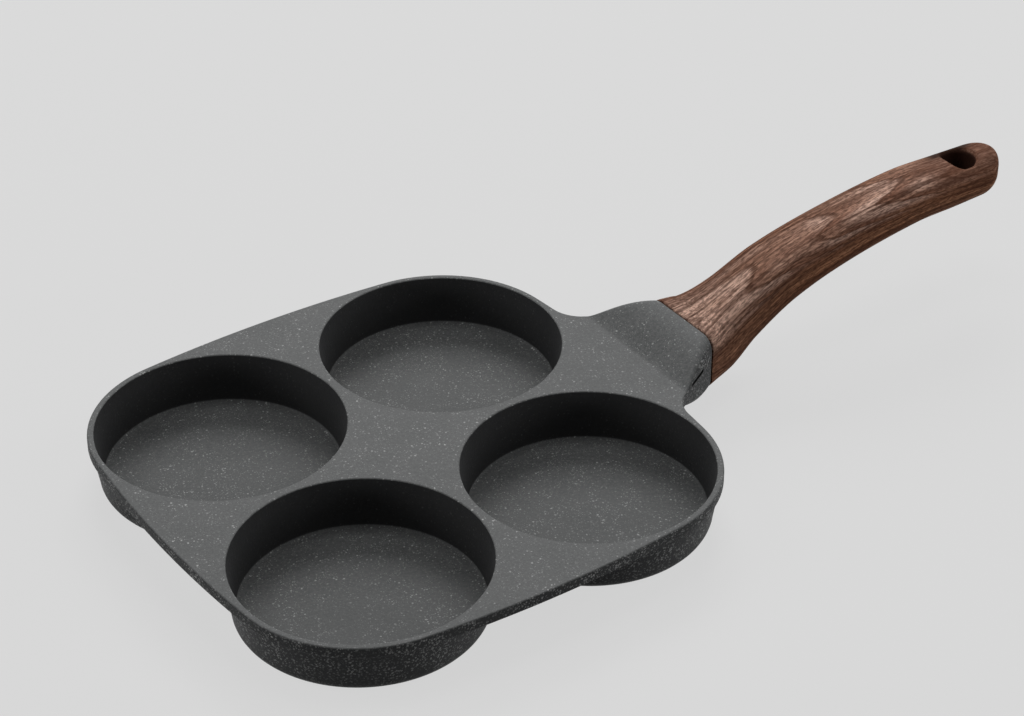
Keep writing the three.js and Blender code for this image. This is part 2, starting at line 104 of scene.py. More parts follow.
# Handle: sections along the run from the seam to the round tip's middle, as shares of the seam's section
HANDLE_LENGTH = 168 * MM
TIP_RADIUS = 12.4 * MM
TIP_HALF_HEIGHT = 10.1 * MM
TIP_ROUND = 8.7 * MM
TIP_END_ROUND = 3.1 * MM
TIP_BELLY_ROUND = 10.9 * MM
TIP_CENTRE_Z = 26.7 * MM
GRIP_SHARES = (0.07, 0.16, 0.3, 0.5, 0.75, 0.9)
GRIP_RISES = (0.058, 0.259, 0.583, 0.827, 1.005, 1.005)
GRIP_WIDTHS = (0.858, 0.732, 0.683, 0.644, 0.642, 0.616)
GRIP_HEIGHTS = (1.015, 0.945, 0.898, 0.84, 0.79, 0.767)
GRIP_ROUNDS = (0.554, 0.678, 0.73, 0.72, 0.82, 0.78)
GRIP_BELLIES = (0.554, 0.678, 0.76, 0.85, 0.935, 0.951)
MID_GRIP = 3
HOLE_BACK_MARGIN = 12.1 * MM
HOLE_LENGTH = 13.2 * MM
HOLE_WIDTH = 15.3 * MM
HOLE_CORNER = 3.5 * MM
HOLE_EDGE = 1.8 * MM
HANDLE_EDGE = 0.5 * MM
# Depth inside the skin where the painted shade of the cut-outs starts, and how far it fades
CUT_OUT_SHADE_INSET = 0.9 * MM
CUT_OUT_SHADE_FADE = 0.7 * MM

# Tenon and screw
TENON_PITCH = math.radians(19)
TENON_LENGTH = 30 * MM
TENON_WIDTH = 20 * MM
TENON_THICKNESS = 8 * MM
TENON_RAISE = 1.5 * MM
FIT_GAP = 0.3 * MM
SCREW_SETBACK = 17 * MM
SCREW_RADIUS = 2.5 * MM
SCREW_HEAD_RADIUS = 4.5 * MM
SCREW_HEAD_HEIGHT = 3 * MM
SCREW_HEAD_ROUND = 1.1 * MM
SCREW_TIP_COVER = 1 * MM
DRIVE_ARM = 2.4 * MM
DRIVE_WIDTH = 1.1 * MM
DRIVE_DEPTH = 1.8 * MM
DRIVE_TAPER = 0.45
SEAT_WEB = 2.5 * MM
STACK_GAP = 0.15 * MM
FLAT_WASHER_RADIUS = 5 * MM
FLAT_WASHER_THICKNESS = 1 * MM
SPRING_WASHER_THICKNESS = 1.3 * MM
COUNTERBORE_EDGE = 0.5 * MM

# Perforations of the steel discs, in rings about the middle
PERFORATION_RADIUS = 1.3 * MM
PERFORATION_PITCH = 6.4 * MM
PERFORATION_RINGS = 5
PERFORATION_STEPS = 14
PERFORATIONS_A_RING = 6
PERFORATION_KEEP = 0.9
DISC_EDGE = 0.15 * MM

# Fineness of the meshes
CIRCLE_STEPS = 160
ROUND_STEPS = 5
BEND_STEPS = 8
WALL_STEPS = 4
CORNER_STEPS = 48
SIDE_STEPS = 24
FILLET_STEPS = 12
SHORT_SIDE_STEPS = 4
NECK_RINGS = 26
NECK_CROWDING = 1.4
ACROSS_STEPS = 28
HANDLE_GRID = 0.7 * MM
SCREW_GRID = 0.2 * MM
RELAX_ROUNDS = 4
PLACE_ROUNDS = 8
GRID_MARGIN = 3
LEAST_SLOPE = 0.1
SLOPE_STEP = 1e-5
WELD = 1e-6
PAN_SHARP = math.radians(50)
HANDLE_SHARP = math.radians(60)
SCREW_SHARP = math.radians(45)
DISC_SHARP = math.radians(40)

# Sizes that follow
QUARTER = math.pi / 2
HALF_PITCH = CAVITY_RADIUS + CAVITY_BRIDGE / 2
CAVITY_SIGNS = ((-1, -1), (1, -1), (1, 1), (-1, 1))
CAVITY_CENTRES = [(x * HALF_PITCH, y * HALF_PITCH) for x, y in CAVITY_SIGNS]
CORNER_RADIUS = CAVITY_RADIUS + RIM_LAND
FLOOR_Z = -CAVITY_DEPTH
RIM_RADIUS = CAVITY_RADIUS + RIM_ROUND
SEAM_X = SIDE_REACH + NECK_REACH
GROOVE_MIDDLE = SEAM_X - GROOVE_SETBACK
GROOVE_HALF = GROOVE_LENGTH / 2 * math.cos(NECK_FLARE)
SEAM_HALF_WIDTH = SEAM_WIDTH / 2
SEAM_HALF_HEIGHT = SEAM_HEIGHT / 2
TIP_X = SEAM_X + HANDLE_LENGTH
TIP_CENTRE_X = TIP_X - TIP_RADIUS
TENON_UNDER = TENON_RAISE - TENON_THICKNESS / 2
TENON_TOP = TENON_RAISE + TENON_THICKNESS / 2
SEAT_Z = TENON_UNDER - FIT_GAP - SEAT_WEB
SCREW_HEAD_TOP = SEAT_Z - FLAT_WASHER_THICKNESS - SPRING_WASHER_THICKNESS - 3 * STACK_GAP
SCREW_HEAD_UNDER = SCREW_HEAD_TOP - SCREW_HEAD_HEIGHT
SCREW_END = TENON_TOP - SCREW_TIP_COVER
TENON_FRAME = Matrix.Translation((SEAM_X, 0, SEAM_CENTRE_Z)) @ Matrix.Rotation(-TENON_PITCH, 4, "Y")
TENON_FRAME_BACK = TENON_FRAME.inverted()


# The skin of one piece, gathered face by face
class Skin:
    def __init__(self):
        self.points = []
        self.faces = []

    def face(self, places):
        start = len(self.points)
        self.points.extend(tuple(place) for place in places)
        self.faces.append(tuple(range(start, len(self.points))))

    def strip(self, first, second, closed=True):
        count = len(first)
        steps = count if closed else count - 1
        for i in range(steps):
            j = (i + 1) % count
            self.face([first[i], first[j], second[j], second[i]])

    def strips(self, rows, closed=True):
        for first, second in zip(rows, rows[1:]):
            self.strip(first, second, closed)

    def cap(self, row):
        middle = np.mean(np.array(row), axis=0)
        for i in range(len(row)):
            self.face([middle, row[i], row[(i + 1) % len(row)]])

    def flat(self, loops, keeps, lift, extra=()):
        """Triangles between flat loops where keeps says so, lifted from the plane to their place."""
        corners = []
        edges = []
        for loop in loops:
            start = len(corners)
            corners.extend(loop)
            edges.extend((start + i, start + (i + 1) % len(loop)) for i in range(len(loop)))
        corners.extend(extra)
        made = delaunay_2d_cdt([Vector(corner) for corner in corners], edges, [], 1, WELD)
        origin = [ids[0] for ids in made[3]]
        for triangle in made[2]:
            flat = [corners[origin[k]] for k in triangle]
            if keeps(np.mean(np.array(flat), axis=0)):
                self.face([lift(corner) for corner in flat])


def add_object(name, data):
    made = bpy.data.objects.new(name, data)
    bpy.context.scene.collection.objects.link(made)
    return made


def finish_mesh(name, points, faces, sharp_angle):
    """Object whose equal points are merged, whose faces point out and whose sharp edges are marked."""
    mesh = bpy.data.meshes.new(name)
    mesh.from_pydata([tuple(point) for point in points], [], [tuple(face) for face in faces])
    work = bmesh.new()
    work.from_mesh(mesh)
    bmesh.ops.remove_doubles(work, verts=work.verts[:], dist=WELD)
    bmesh.ops.recalc_face_normals(work, faces=work.faces[:])
    work.to_mesh(mesh)
    work.free()
    mesh.shade_smooth()
    mesh.set_sharp_from_angle(angle=sharp_angle)
    piece = add_object(name, mesh)
    weighted = piece.modifiers.new("flat faces shade flat", "WEIGHTED_NORMAL")
    weighted.keep_sharp = True
    return piece


def stand_for(piece, node):
    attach(piece, "root")
    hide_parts(node)


def circle(centre, radius, z, steps=CIRCLE_STEPS):
    angles = np.arange(steps) * (2 * math.pi / steps)
    return [(centre[0] + radius * math.cos(a), centre[1] + radius * math.sin(a), z) for a in angles]


def flat_circle(centre, radius, steps=CIRCLE_STEPS):
    return [spot[:2] for spot in circle(centre, radius, 0, steps)]


def quarter_turn(steps):
    return np.linspace(0, QUARTER, steps + 1)


def arc(centre, radius, start, end, steps):
    angles = np.linspace(start, end, steps + 1)
    return [(centre[0] + radius * math.cos(a), centre[1] + radius * math.sin(a)) for a in angles]


def lerp(first, second, share):
    return first + (second - first) * share


def ease(share):
    share = np.clip(share, 0, 1)
    return share * share * (3 - 2 * share)


def circles_clear(radius, steps):
    """Test that a triangle's middle lies outside round holes of a radius at the cavities."""
    step = 2 * math.pi / steps
    limit = radius * (1 - step * step / 6)
    return lambda spot: all(math.dist(spot, centre) > limit for centre in CAVITY_CENTRES)


# Deck outline, from the foot of the neck on the +Y side round the pan to the other foot
SIDE_DEPTH = SIDE_REACH - HALF_PITCH
SIDE_RADIUS = (SIDE_DEPTH**2 + HALF_PITCH**2 - CORNER_RADIUS**2) / (2 * (SIDE_DEPTH - CORNER_RADIUS))
SIDE_CENTRE = SIDE_REACH - SIDE_RADIUS
SIDE_ANGLE = math.atan2(HALF_PITCH, HALF_PITCH - SIDE_CENTRE)
FLANK_OUT = np.array([math.sin(NECK_FLARE), math.cos(NECK_FLARE)])


def fillet_centre():
    """Middle of the fillet that is tangent to the neck's flank and to the bowed side."""
    along = np.array([-FLANK_OUT[1], FLANK_OUT[0]])
    level = FLANK_OUT @ np.array([SEAM_X, SEAM_HALF_WIDTH])
    nearest = FLANK_OUT * (level + NECK_FILLET)
    from_side = nearest - np.array([SIDE_CENTRE, 0])
    half = from_side @ along
    excess = from_side @ from_side - (SIDE_RADIUS + NECK_FILLET) ** 2
    root = math.sqrt(half * half - excess)
    step = min((-half - root, -half + root), key=abs)
    return nearest + along * step


FILLET_CENTRE = fillet_centre()
FOOT_X = FILLET_CENTRE[0] - FLANK_OUT[0] * NECK_FILLET


def neck_half_width(x):
    return SEAM_HALF_WIDTH + (SEAM_X - x) * math.tan(NECK_FLARE)


FOOT_HALF_WIDTH = neck_half_width(FOOT_X)


def turned_back(spot, turns):
    angle = turns * QUARTER
    cos, sin = math.cos(angle), math.sin(angle)
    return (spot[0] * cos - spot[1] * sin, spot[0] * sin + spot[1] * cos)


def deck_outline():
    """Points of the outline, each with the direction that points out of the deck."""
    outline = []

    def add(points, centre, sign):
        for point in points:
            out = (np.array(point) - np.array(centre)) * sign
            outline.append((np.array(point), out / np.linalg.norm(out)))

    def add_lobe(mirror):
        start = math.atan2(FILLET_CENTRE[1], FILLET_CENTRE[0] - SIDE_CENTRE)
        fillet = arc(FILLET_CENTRE, NECK_FILLET, -QUARTER - NECK_FLARE, start - math.pi, FILLET_STEPS)
        side = arc((SIDE_CENTRE, 0), SIDE_RADIUS, start, SIDE_ANGLE, SHORT_SIDE_STEPS)[1:]
        flip = -1 if mirror else 1
        runs = [(fillet, FILLET_CENTRE, -1), (side, (SIDE_CENTRE, 0), 1)]
        if mirror:
            runs = [(points[::-1], centre, sign) for points, centre, sign in runs[::-1]]
        for points, centre, sign in runs:
            add([(x, flip * y) for x, y in points], (centre[0], flip * centre[1]), sign)

    add_lobe(False)
    for side in range(4):
        middle = turned_back((HALF_PITCH, HALF_PITCH), side)
        start = side * QUARTER
        corner = arc(middle, CORNER_RADIUS, start + SIDE_ANGLE, start + QUARTER - SIDE_ANGLE, CORNER_STEPS)
        add(corner[1:] if side < 3 else corner[1:-1], middle, 1)
        if side < 3:
            bow = turned_back((SIDE_CENTRE, 0), side + 1)
            turn = (side + 1) * QUARTER
            add(arc(bow, SIDE_RADIUS, turn - SIDE_ANGLE, turn + SIDE_ANGLE, SIDE_STEPS)[1:], bow, 1)
    add_lobe(True)
    outline[0] = (outline[0][0], np.array([0, 1]))
    outline[-1] = (outline[-1][0], np.array([0, -1]))
    return outline


def foot_drop(x, y):
    """How far the deck's underside drops towards the foot of the neck."""
    along = ease((x - FOOT_X + NECK_FOOT_RUN) / NECK_FOOT_RUN)
    across = ease((FOOT_HALF_WIDTH + NECK_FOOT_FADE - abs(y)) / NECK_FOOT_FADE)
    return NECK_FOOT_DROP * float(along * across)


def side_profile(top, under, round_, depth):
    """Inset and height down a side that is rounded above and below, with a groove of a depth in it."""
    high = GROOVE_Z + GROOVE_WIDTH / 2
    low = GROOVE_Z - GROOVE_WIDTH / 2
    levels = (high + GROOVE_LIP, high, high - GROOVE_SLOPE, low + GROOVE_SLOPE, low, low - GROOVE_LIP)
    depths = (0, 0, depth, depth, 0, 0)
    profile = []
    for angle in quarter_turn(ROUND_STEPS):
        profile.append((round_ * (1 - math.sin(angle)), top - round_ * (1 - math.cos(angle))))
    for i, (level, inset) in enumerate(zip(levels, depths)):
        profile.append((inset, min(level, top - round_ - (i + 1) * GROOVE_SLOPE / 2)))
    for angle in quarter_turn(ROUND_STEPS):
        profile.append((round_ * (1 - math.cos(angle)), under + round_ * (1 - math.sin(angle))))
    return profile


def neck_ring(x, top, under, half_width, round_, depth):
    """Ring across the neck: the +Y side down, the underside, the other side up, and the top."""
    profile = side_profile(top, under, round_, depth)
    right = [(x, half_width - inset, z) for inset, z in profile]
    left = [(x, -y, z) for _, y, z in reversed(right)]
    inner = half_width - round_
    across = np.linspace(inner, -inner, ACROSS_STEPS + 1)[1:-1]
    below = [(x, y, under) for y in across]
    above = [(x, y, top) for y in reversed(across)]
    return right, below, left, above


def neck_rings():
    seam_top = SEAM_CENTRE_Z + SEAM_HALF_HEIGHT
    seam_under = SEAM_CENTRE_Z - SEAM_HALF_HEIGHT
    foot_under = -DECK_THICKNESS - NECK_FOOT_DROP
    ends = (GROOVE_MIDDLE - GROOVE_HALF, GROOVE_MIDDLE + GROOVE_HALF)
    shares = [(i / NECK_RINGS) ** NECK_CROWDING for i in range(NECK_RINGS)]
    stations = [lerp(FOOT_X, SEAM_X - SEAM_EDGE, share) for share in shares]
    for end in ends:
        stations += [end - GROOVE_SLOPE, end + GROOVE_SLOPE]
    stations = [(x, 0) for x in sorted(stations)]
    for angle in quarter_turn(ROUND_STEPS):
        stations.append((SEAM_X - SEAM_EDGE * (1 - math.sin(angle)), SEAM_EDGE * (1 - math.cos(angle))))
    rings = []
    for x, shrink in stations:
        share = (x - FOOT_X) / (SEAM_X - FOOT_X)
        climb = share * share * (1 + NECK_CREASE_SHARE) / (share + NECK_CREASE_SHARE)
        top = seam_top * (1 - (1 - climb) ** NECK_TOP_SWELL)
        under = lerp(foot_under, seam_under, 1 - (1 - share) ** NECK_UNDER_SWELL)
        round_ = lerp(EDGE_ROUND, SEAM_ROUND, share**NECK_ROUND_GROWTH)
        depth = GROOVE_DEPTH if ends[0] < x < ends[1] else 0
        half_width = neck_half_width(x) - shrink
        rings.append(neck_ring(x, top - shrink, under + shrink, half_width, round_ - shrink, depth))
    return rings


def wall_radius(z):
    return CAVITY_RADIUS + z / CAVITY_DEPTH * CAVITY_DRAFT


def cavity_profile():
    """Radius and height from the rim down the wall to the floor."""
    profile = []
    for angle in quarter_turn(ROUND_STEPS):
        sink = RIM_ROUND * (1 - math.cos(angle))
        profile.append((wall_radius(-sink) + RIM_ROUND * (1 - math.sin(angle)), -sink))
    floor_edge = wall_radius(FLOOR_Z) - CAVITY_FILLET
    for z in np.linspace(-RIM_ROUND, FLOOR_Z + CAVITY_FILLET, WALL_STEPS + 1)[1:-1]:
        profile.append((wall_radius(z), z))
    for angle in quarter_turn(BEND_STEPS):
        height = FLOOR_Z + CAVITY_FILLET * (1 - math.sin(angle))
        profile.append((floor_edge + CAVITY_FILLET * math.cos(angle), height))
    profile[0] = (RIM_RADIUS, 0)
    return profile


def cup_profile():
    """Radius and height from the deck's underside down the outside of a cup to the recess for its disc."""
    top = -DECK_THICKNESS
    wall = CUP_WALL
    profile = []
    for angle in quarter_turn(ROUND_STEPS):
        z = top - CUP_TOP_FILLET * (1 - math.cos(angle))
        profile.append((wall_radius(z) + wall + CUP_TOP_FILLET * (1 - math.sin(angle)), z))
    base = wall_radius(BASE_Z) + wall
    bend_z = BASE_Z + CUP_BASE_ROUND
    for z in np.linspace(top - CUP_TOP_FILLET, bend_z, WALL_STEPS + 1)[1:-1]:
        profile.append((lerp(wall_radius(top) + wall, base, (z - top) / (bend_z - top)), z))
    for angle in quarter_turn(BEND_STEPS):
        height = bend_z - CUP_BASE_ROUND * math.sin(angle)
        profile.append((base - CUP_BASE_ROUND * (1 - math.cos(angle)), height))
    recess = DISC_RADIUS + RECESS_GAP
    profile.append((recess + RECESS_EDGE, BASE_Z))
    profile.append((recess, BASE_Z + RECESS_EDGE))
    profile.append((recess, DISC_TOP + RECESS_GAP))
    return profile


def tenon_spot(along, across, up):
    return tuple(TENON_FRAME @ Vector((along, across, up)))


def add_tenon(skin, seam_ring):
    """Neck's end face with the tenon on it, and the screw's hole through the tenon."""
    half = TENON_WIDTH / 2
    slope = math.tan(TENON_PITCH)
    hole = arc((SCREW_SETBACK, 0), SCREW_RADIUS + FIT_GAP, 0, 2 * math.pi, PERFORATION_STEPS * 2)[:-1]
    rows = []

    def clear_of_hole(spot):
        return math.dist(spot, (SCREW_SETBACK, 0)) > SCREW_RADIUS

    for up in (TENON_UNDER, TENON_TOP):
        root = up * slope
        row = [(root, -half), (TENON_LENGTH, -half), (TENON_LENGTH, half), (root, half)]
        skin.flat([row, hole], clear_of_hole, lambda spot: tenon_spot(spot[0], spot[1], up))
        rows.append([tenon_spot(x, y, up) for x, y in row])
    below, above = rows
    for i, j in ((0, 1), (1, 2), (2, 3)):
        skin.face([below[i], below[j], above[j], above[i]])
    skin.strip(
        [tenon_spot(x, y, TENON_UNDER) for x, y in hole],
        [tenon_spot(x, y, TENON_TOP) for x, y in hole],
    )
    root_loop = [below[0], below[3], above[3], above[0]]
    low, high = below[0][2], above[0][2]
    loops = [[(y, z) for _, y, z in seam_ring], [(y, z) for _, y, z in root_loop]]
    skin.flat(
        loops,
        lambda spot: abs(spot[0]) > half or not low < spot[1] < high,
        lambda spot: (SEAM_X, spot[0], spot[1]),
    )


def build_pan_body():
    skin = Skin()
    outline = deck_outline()
    columns = []
    for (x, y), out in outline:
        profile = side_profile(0, -DECK_THICKNESS - foot_drop(x, y), EDGE_ROUND, 0)
        columns.append([(x - out[0] * inset, y - out[1] * inset, z) for inset, z in profile])
    skin.strips(columns, closed=False)

    rings = neck_rings()
    _, foot_below, _, foot_above = rings[0]
    skin.strips([right + below + left + above for right, below, left, above in rings])
    add_tenon(skin, [spot for part in rings[-1] for spot in part])

    top_loop = [column[0][:2] for column in columns] + [spot[:2] for spot in foot_above]
    rims = [flat_circle(centre, RIM_RADIUS) for centre in CAVITY_CENTRES]
    skin.flat([top_loop] + rims, circles_clear(RIM_RADIUS, CIRCLE_STEPS), lambda spot: (spot[0], spot[1], 0))

    def under_place(spot):
        return (spot[0], spot[1], -DECK_THICKNESS - foot_drop(spot[0], spot[1]))

    cup = cup_profile()
    cup_top = cup[0][0]
    under_loop = [column[-1][:2] for column in columns] + [spot[:2] for spot in reversed(foot_below)]
    cups = [flat_circle(centre, cup_top) for centre in CAVITY_CENTRES]
    cup_clear = circles_clear(cup_top, CIRCLE_STEPS)
    grid_x = np.linspace(FOOT_X - NECK_FOOT_RUN, FOOT_X, ROUND_STEPS + 2)[1:-1]
    grid_y = np.linspace(-FOOT_HALF_WIDTH, FOOT_HALF_WIDTH, ACROSS_STEPS + 1)[1:-1]
    extra = [spot for spot in itertools.product(grid_x, grid_y) if cup_clear(spot)]
    skin.flat([under_loop] + cups, cup_clear, under_place, extra)

    cavity = cavity_profile()
    for centre in CAVITY_CENTRES:
        cavity_rows = [circle(centre, radius, z) for radius, z in cavity]
        skin.strips(cavity_rows)
        skin.cap(cavity_rows[-1])
        cup_rows = [circle(centre, radius, z) for radius, z in cup]
        cup_rows[0] = [under_place(spot) for spot in cup_rows[0]]
        skin.strips(cup_rows)
        skin.cap(cup_rows[-1])
    piece = finish_mesh("pan_body_cast", skin.points, skin.faces, PAN_SHARP)
    stand_for(piece, "pan_body")
    return piece


# Surfaces made from a field that is below nought inside the piece
def net_surface(field, low, high, step):
    """Points and four-sided faces where the field is nought, evened out along the surface."""
    low = np.array(low)
    counts = np.ceil((np.array(high) - low) / step).astype(int) + 1
    axes = [low[i] + step * np.arange(counts[i]) for i in range(3)]
    grid = np.stack(np.meshgrid(*axes, indexing="ij"), axis=-1)
    value = field(grid.reshape(-1, 3)).reshape(counts)
    inside = value < 0
    corner_sets = list(itertools.product((0, 1), repeat=3))

    def corner_values(array, corner):
        return array[tuple(slice(c, n - 1 + c) for c, n in zip(corner, counts))]

    filled = sum(corner_values(inside, corner).astype(int) for corner in corner_sets)
    mixed = (filled > 0) & (filled < 8)
    number = np.full(mixed.shape, -1)
    number[mixed] = np.arange(mixed.sum())
    points = np.zeros((mixed.sum(), 3))
    crossings = np.zeros(mixed.sum())
    cell_low = grid[:-1, :-1, :-1][mixed]
    for first, second in itertools.combinations(corner_sets, 2):
        if sum(a != b for a, b in zip(first, second)) != 1:
            continue
        start = corner_values(value, first)[mixed]
        end = corner_values(value, second)[mixed]
        crossed = (start < 0) != (end < 0)
        share = np.where(crossed, start / np.where(crossed, start - end, 1), 0)[:, None]
        place = cell_low + step * (np.array(first) * (1 - share) + np.array(second) * share)
        points += place * crossed[:, None]
        crossings += crossed
    points /= crossings[:, None]
    faces = []
    for axis in range(3):
        order = (axis, (axis + 1) % 3, (axis + 2) % 3)
        filled_here = np.transpose(inside, order)
        cells = np.transpose(number, order)
        leaves = filled_here[:-1, 1:-1, 1:-1] & ~filled_here[1:, 1:-1, 1:-1]
        enters = ~filled_here[:-1, 1:-1, 1:-1] & filled_here[1:, 1:-1, 1:-1]
        around = (cells[:, :-1, :-1], cells[:, 1:, :-1], cells[:, 1:, 1:], cells[:, :-1, 1:])
        faces.append(np.stack([corner[leaves] for corner in around], axis=-1))
        faces.append(np.stack([corner[enters] for corner in around[::-1]], axis=-1))
    faces = np.concatenate(faces)
    for _ in range(RELAX_ROUNDS):
        points = onto_surface(field, evened(points, faces))
    return points, faces


def evened(points, faces):
    """Each point moved half way to the mean of its neighbours along the faces' edges."""
    total = np.zeros_like(points)
    count = np.zeros(len(points))
    for first, second in ((0, 1), (1, 2), (2, 3), (3, 0)):
        a, b = faces[:, first], faces[:, second]
        np.add.at(total, a, points[b])
        np.add.at(total, b, points[a])
        np.add.at(count, a, 1)
        np.add.at(count, b, 1)
    return (points + total / count[:, None]) / 2


def onto_surface(field, points):
    value = field(points)
    slope = np.zeros_like(points)
    for axis in range(3):
        step = np.zeros(3)
        step[axis] = SLOPE_STEP
        slope[:, axis] = (field(points + step) - field(points - step)) / (2 * SLOPE_STEP)
    steep = np.maximum(np.sum(slope * slope, axis=1), LEAST_SLOPE)
    return points - slope * (value / steep)[:, None]


def box_field(across, up, half_across, half_up, round_):
    """Distance to a rounded rectangle in a plane."""
    right = across - (half_across - round_)
    above = up - (half_up - round_)
    outside = np.hypot(np.maximum(right, 0), np.maximum(above, 0))
    return outside + np.minimum(np.maximum(right, above), 0) - round_


def both(first, second, round_):
    """Where both fields are inside, with the edge between them rounded."""
    sharp = np.minimum(np.maximum(first, second), -round_)
    return sharp + np.hypot(np.maximum(first + round_, 0), np.maximum(second + round_, 0))


def smooth_through(places, values):
    """Smooth curve through values, with slopes taken from each value's neighbours."""
    places = np.array(places)
    values = np.array(values)
    before = np.maximum(np.arange(len(values)) - 1, 0)
    after = np.minimum(np.arange(len(values)) + 1, len(values) - 1)
    slopes = (values[after] - values[before]) / (places[after] - places[before])

    def curve(place):
        i = np.clip(np.searchsorted(places, place) - 1, 0, len(places) - 2)
        span = places[i + 1] - places[i]
        t = (place - places[i]) / span
        leave = t * (1 - t) ** 2 * span * slopes[i]
        arrive = t * t * (t - 1) * span * slopes[i + 1]
        return values[i] + (values[i + 1] - values[i]) * t * t * (3 - 2 * t) + leave + arrive

    return curve


GRIP_PLACES = [HANDLE_START + share * (TIP_CENTRE_X - HANDLE_START) for share in (0, *GRIP_SHARES, 1)]
SEAM_ROUND_SHARE = SEAM_ROUND / SEAM_HALF_HEIGHT
rise_at = smooth_through(GRIP_PLACES, (0, *GRIP_RISES, 1))
width_at = smooth_through(GRIP_PLACES, (1, *GRIP_WIDTHS, TIP_RADIUS / SEAM_HALF_WIDTH))
height_at = smooth_through(GRIP_PLACES, (1, *GRIP_HEIGHTS, TIP_HALF_HEIGHT / SEAM_HALF_HEIGHT))
round_at = smooth_through(GRIP_PLACES, (SEAM_ROUND_SHARE, *GRIP_ROUNDS, TIP_ROUND / TIP_HALF_HEIGHT))
belly_at = smooth_through(GRIP_PLACES, (SEAM_ROUND_SHARE, *GRIP_BELLIES, TIP_BELLY_ROUND / TIP_HALF_HEIGHT))


def centre_at(x):
    return lerp(SEAM_CENTRE_Z, TIP_CENTRE_Z, rise_at(x))


def tilt_at(x):
    slope = np.arctan((centre_at(x + SLOPE_STEP) - centre_at(x - SLOPE_STEP)) / (2 * SLOPE_STEP))
    return slope * ease((x - HANDLE_START) / (GRIP_PLACES[1] - GRIP_PLACES[0]))


def grip_places(points):
    """Place of points along the handle's centre line, and past its end, across it and above it."""
    x, y, z = points.T
    last = TIP_CENTRE_X - 2 * SLOPE_STEP
    along = np.clip(x, HANDLE_START, last)
    for _ in range(PLACE_ROUNDS):
        tilt = tilt_at(along)
        along = np.clip(x + (z - centre_at(along)) * np.tan(tilt), HANDLE_START, last)
    tilt = tilt_at(along)
    reach = (x - along) * np.cos(tilt) + (z - centre_at(along)) * np.sin(tilt)
    above = (z - centre_at(along)) * np.cos(tilt) - (x - along) * np.sin(tilt)
    past = np.where(along >= last, np.maximum(reach, 0), 0)
    return along, past, y, above


def grip_field(points):
    """Distance to the outer skin of the handle, as if it had no cut-outs."""
    along, past, across, above = grip_places(points)
    half_width = SEAM_HALF_WIDTH * width_at(along)
    half_height = SEAM_HALF_HEIGHT * height_at(along)
    outward = np.hypot(across, past)
    at_end = (past / np.maximum(outward, WELD)) ** 2
    top_round = lerp(half_height * round_at(along), TIP_END_ROUND, at_end)
    belly_round = half_height * belly_at(along)
    in_belly = above < belly_round - half_height
    round_ = np.where(in_belly, belly_round, top_round)
    up = np.where(in_belly, -above, above)
    return box_field(outward, up, half_width, half_height, round_)


def handle_field(points):
    x, y, z = points.T
    body = both(grip_field(points), HANDLE_START - x, HANDLE_EDGE)
    body = both(body, -hole_field(x, y), HOLE_EDGE)
    local = points @ np.array(TENON_FRAME_BACK.to_3x3()).T + np.array(TENON_FRAME_BACK.translation)
    far, side, up = local.T
    section = box_field(
        np.abs(side), np.abs(up - TENON_RAISE), TENON_WIDTH / 2 + FIT_GAP, TENON_THICKNESS / 2 + FIT_GAP, 0
    )
    socket = np.maximum(section, far - TENON_LENGTH - FIT_GAP)
    from_axis = np.hypot(far - SCREW_SETBACK, side)
    clearance = np.maximum(from_axis - SCREW_RADIUS - FIT_GAP, up - TENON_RAISE)
    counterbore = np.maximum(from_axis - FLAT_WASHER_RADIUS - FIT_GAP, up - SEAT_Z)
    body = np.maximum(body, -socket)
    body = np.maximum(body, -clearance)
    return both(body, -counterbore, COUNTERBORE_EDGE)


def hole_field(x, y):
    """Distance to the outline of the hanging hole, straight in front and round behind."""
    half = HOLE_WIDTH / 2
    back = TIP_X - HOLE_BACK_MARGIN
    front = back - HOLE_LENGTH
    middle = back - half
    ahead = box_field(np.abs(y), middle - x, half, middle - front, HOLE_CORNER)
    behind = np.hypot(x - middle, y) - half
    return np.where(x > middle, behind, ahead)


def build_handle():
    margin = GRID_MARGIN * HANDLE_GRID
    low = np.array(HANDLE_LOW) - margin
    high = np.array(HANDLE_HIGH) + margin
    points, faces = net_surface(handle_field, low, high, HANDLE_GRID)
    piece = finish_mesh("handle_grip", points, faces, HANDLE_SHARP)
    places = np.empty(len(piece.data.vertices) * 3)
    piece.data.vertices.foreach_get("co", places)
    places = places.reshape(-1, 3)
    along, past, across, above = grip_places(places)
    across = across * GRIP_WIDTHS[MID_GRIP] / width_at(along)
    above = above * GRIP_HEIGHTS[MID_GRIP] / height_at(along)
    grain = piece.data.attributes.new("grain", "FLOAT_VECTOR", "POINT")
    grain.data.foreach_set("vector", np.stack([along - HANDLE_START + past, across, above], axis=-1).ravel())
    # One on the outer skin and nought inside the cut-outs, where the wood print gives way to painted shade
    outer_skin = piece.data.attributes.new("outer_skin", "FLOAT", "POINT")
    outer_skin.data.foreach_set("value", ease(1 + (grip_field(places) + CUT_OUT_SHADE_INSET) / CUT_OUT_SHADE_FADE))
    stand_for(piece, "handle")
    return piece


def screw_field(points):
    x, y, z = points.T
    from_axis = np.hypot(x, y)
    head = both(from_axis - SCREW_HEAD_RADIUS, SCREW_HEAD_UNDER - z, SCREW_HEAD_ROUND)
    head = np.maximum(head, z - SCREW_HEAD_TOP)
    shank = np.maximum(from_axis - SCREW_RADIUS, z - SCREW_END)
    shank = np.maximum(shank, SCREW_HEAD_UNDER + SCREW_HEAD_HEIGHT / 2 - z)
    sunk = np.clip((z - SCREW_HEAD_UNDER) / DRIVE_DEPTH, 0, 1)
    reach = DRIVE_ARM * (1 - DRIVE_TAPER * sunk)
    half = DRIVE_WIDTH / 2 * (1 - DRIVE_TAPER * sunk)
    first = np.maximum(np.abs(x) - reach, np.abs(y) - half)
    second = np.maximum(np.abs(y) - reach, np.abs(x) - half)
    drive = np.maximum(np.minimum(first, second), z - SCREW_HEAD_UNDER - DRIVE_DEPTH)
    return np.maximum(np.minimum(head, shank), -drive)


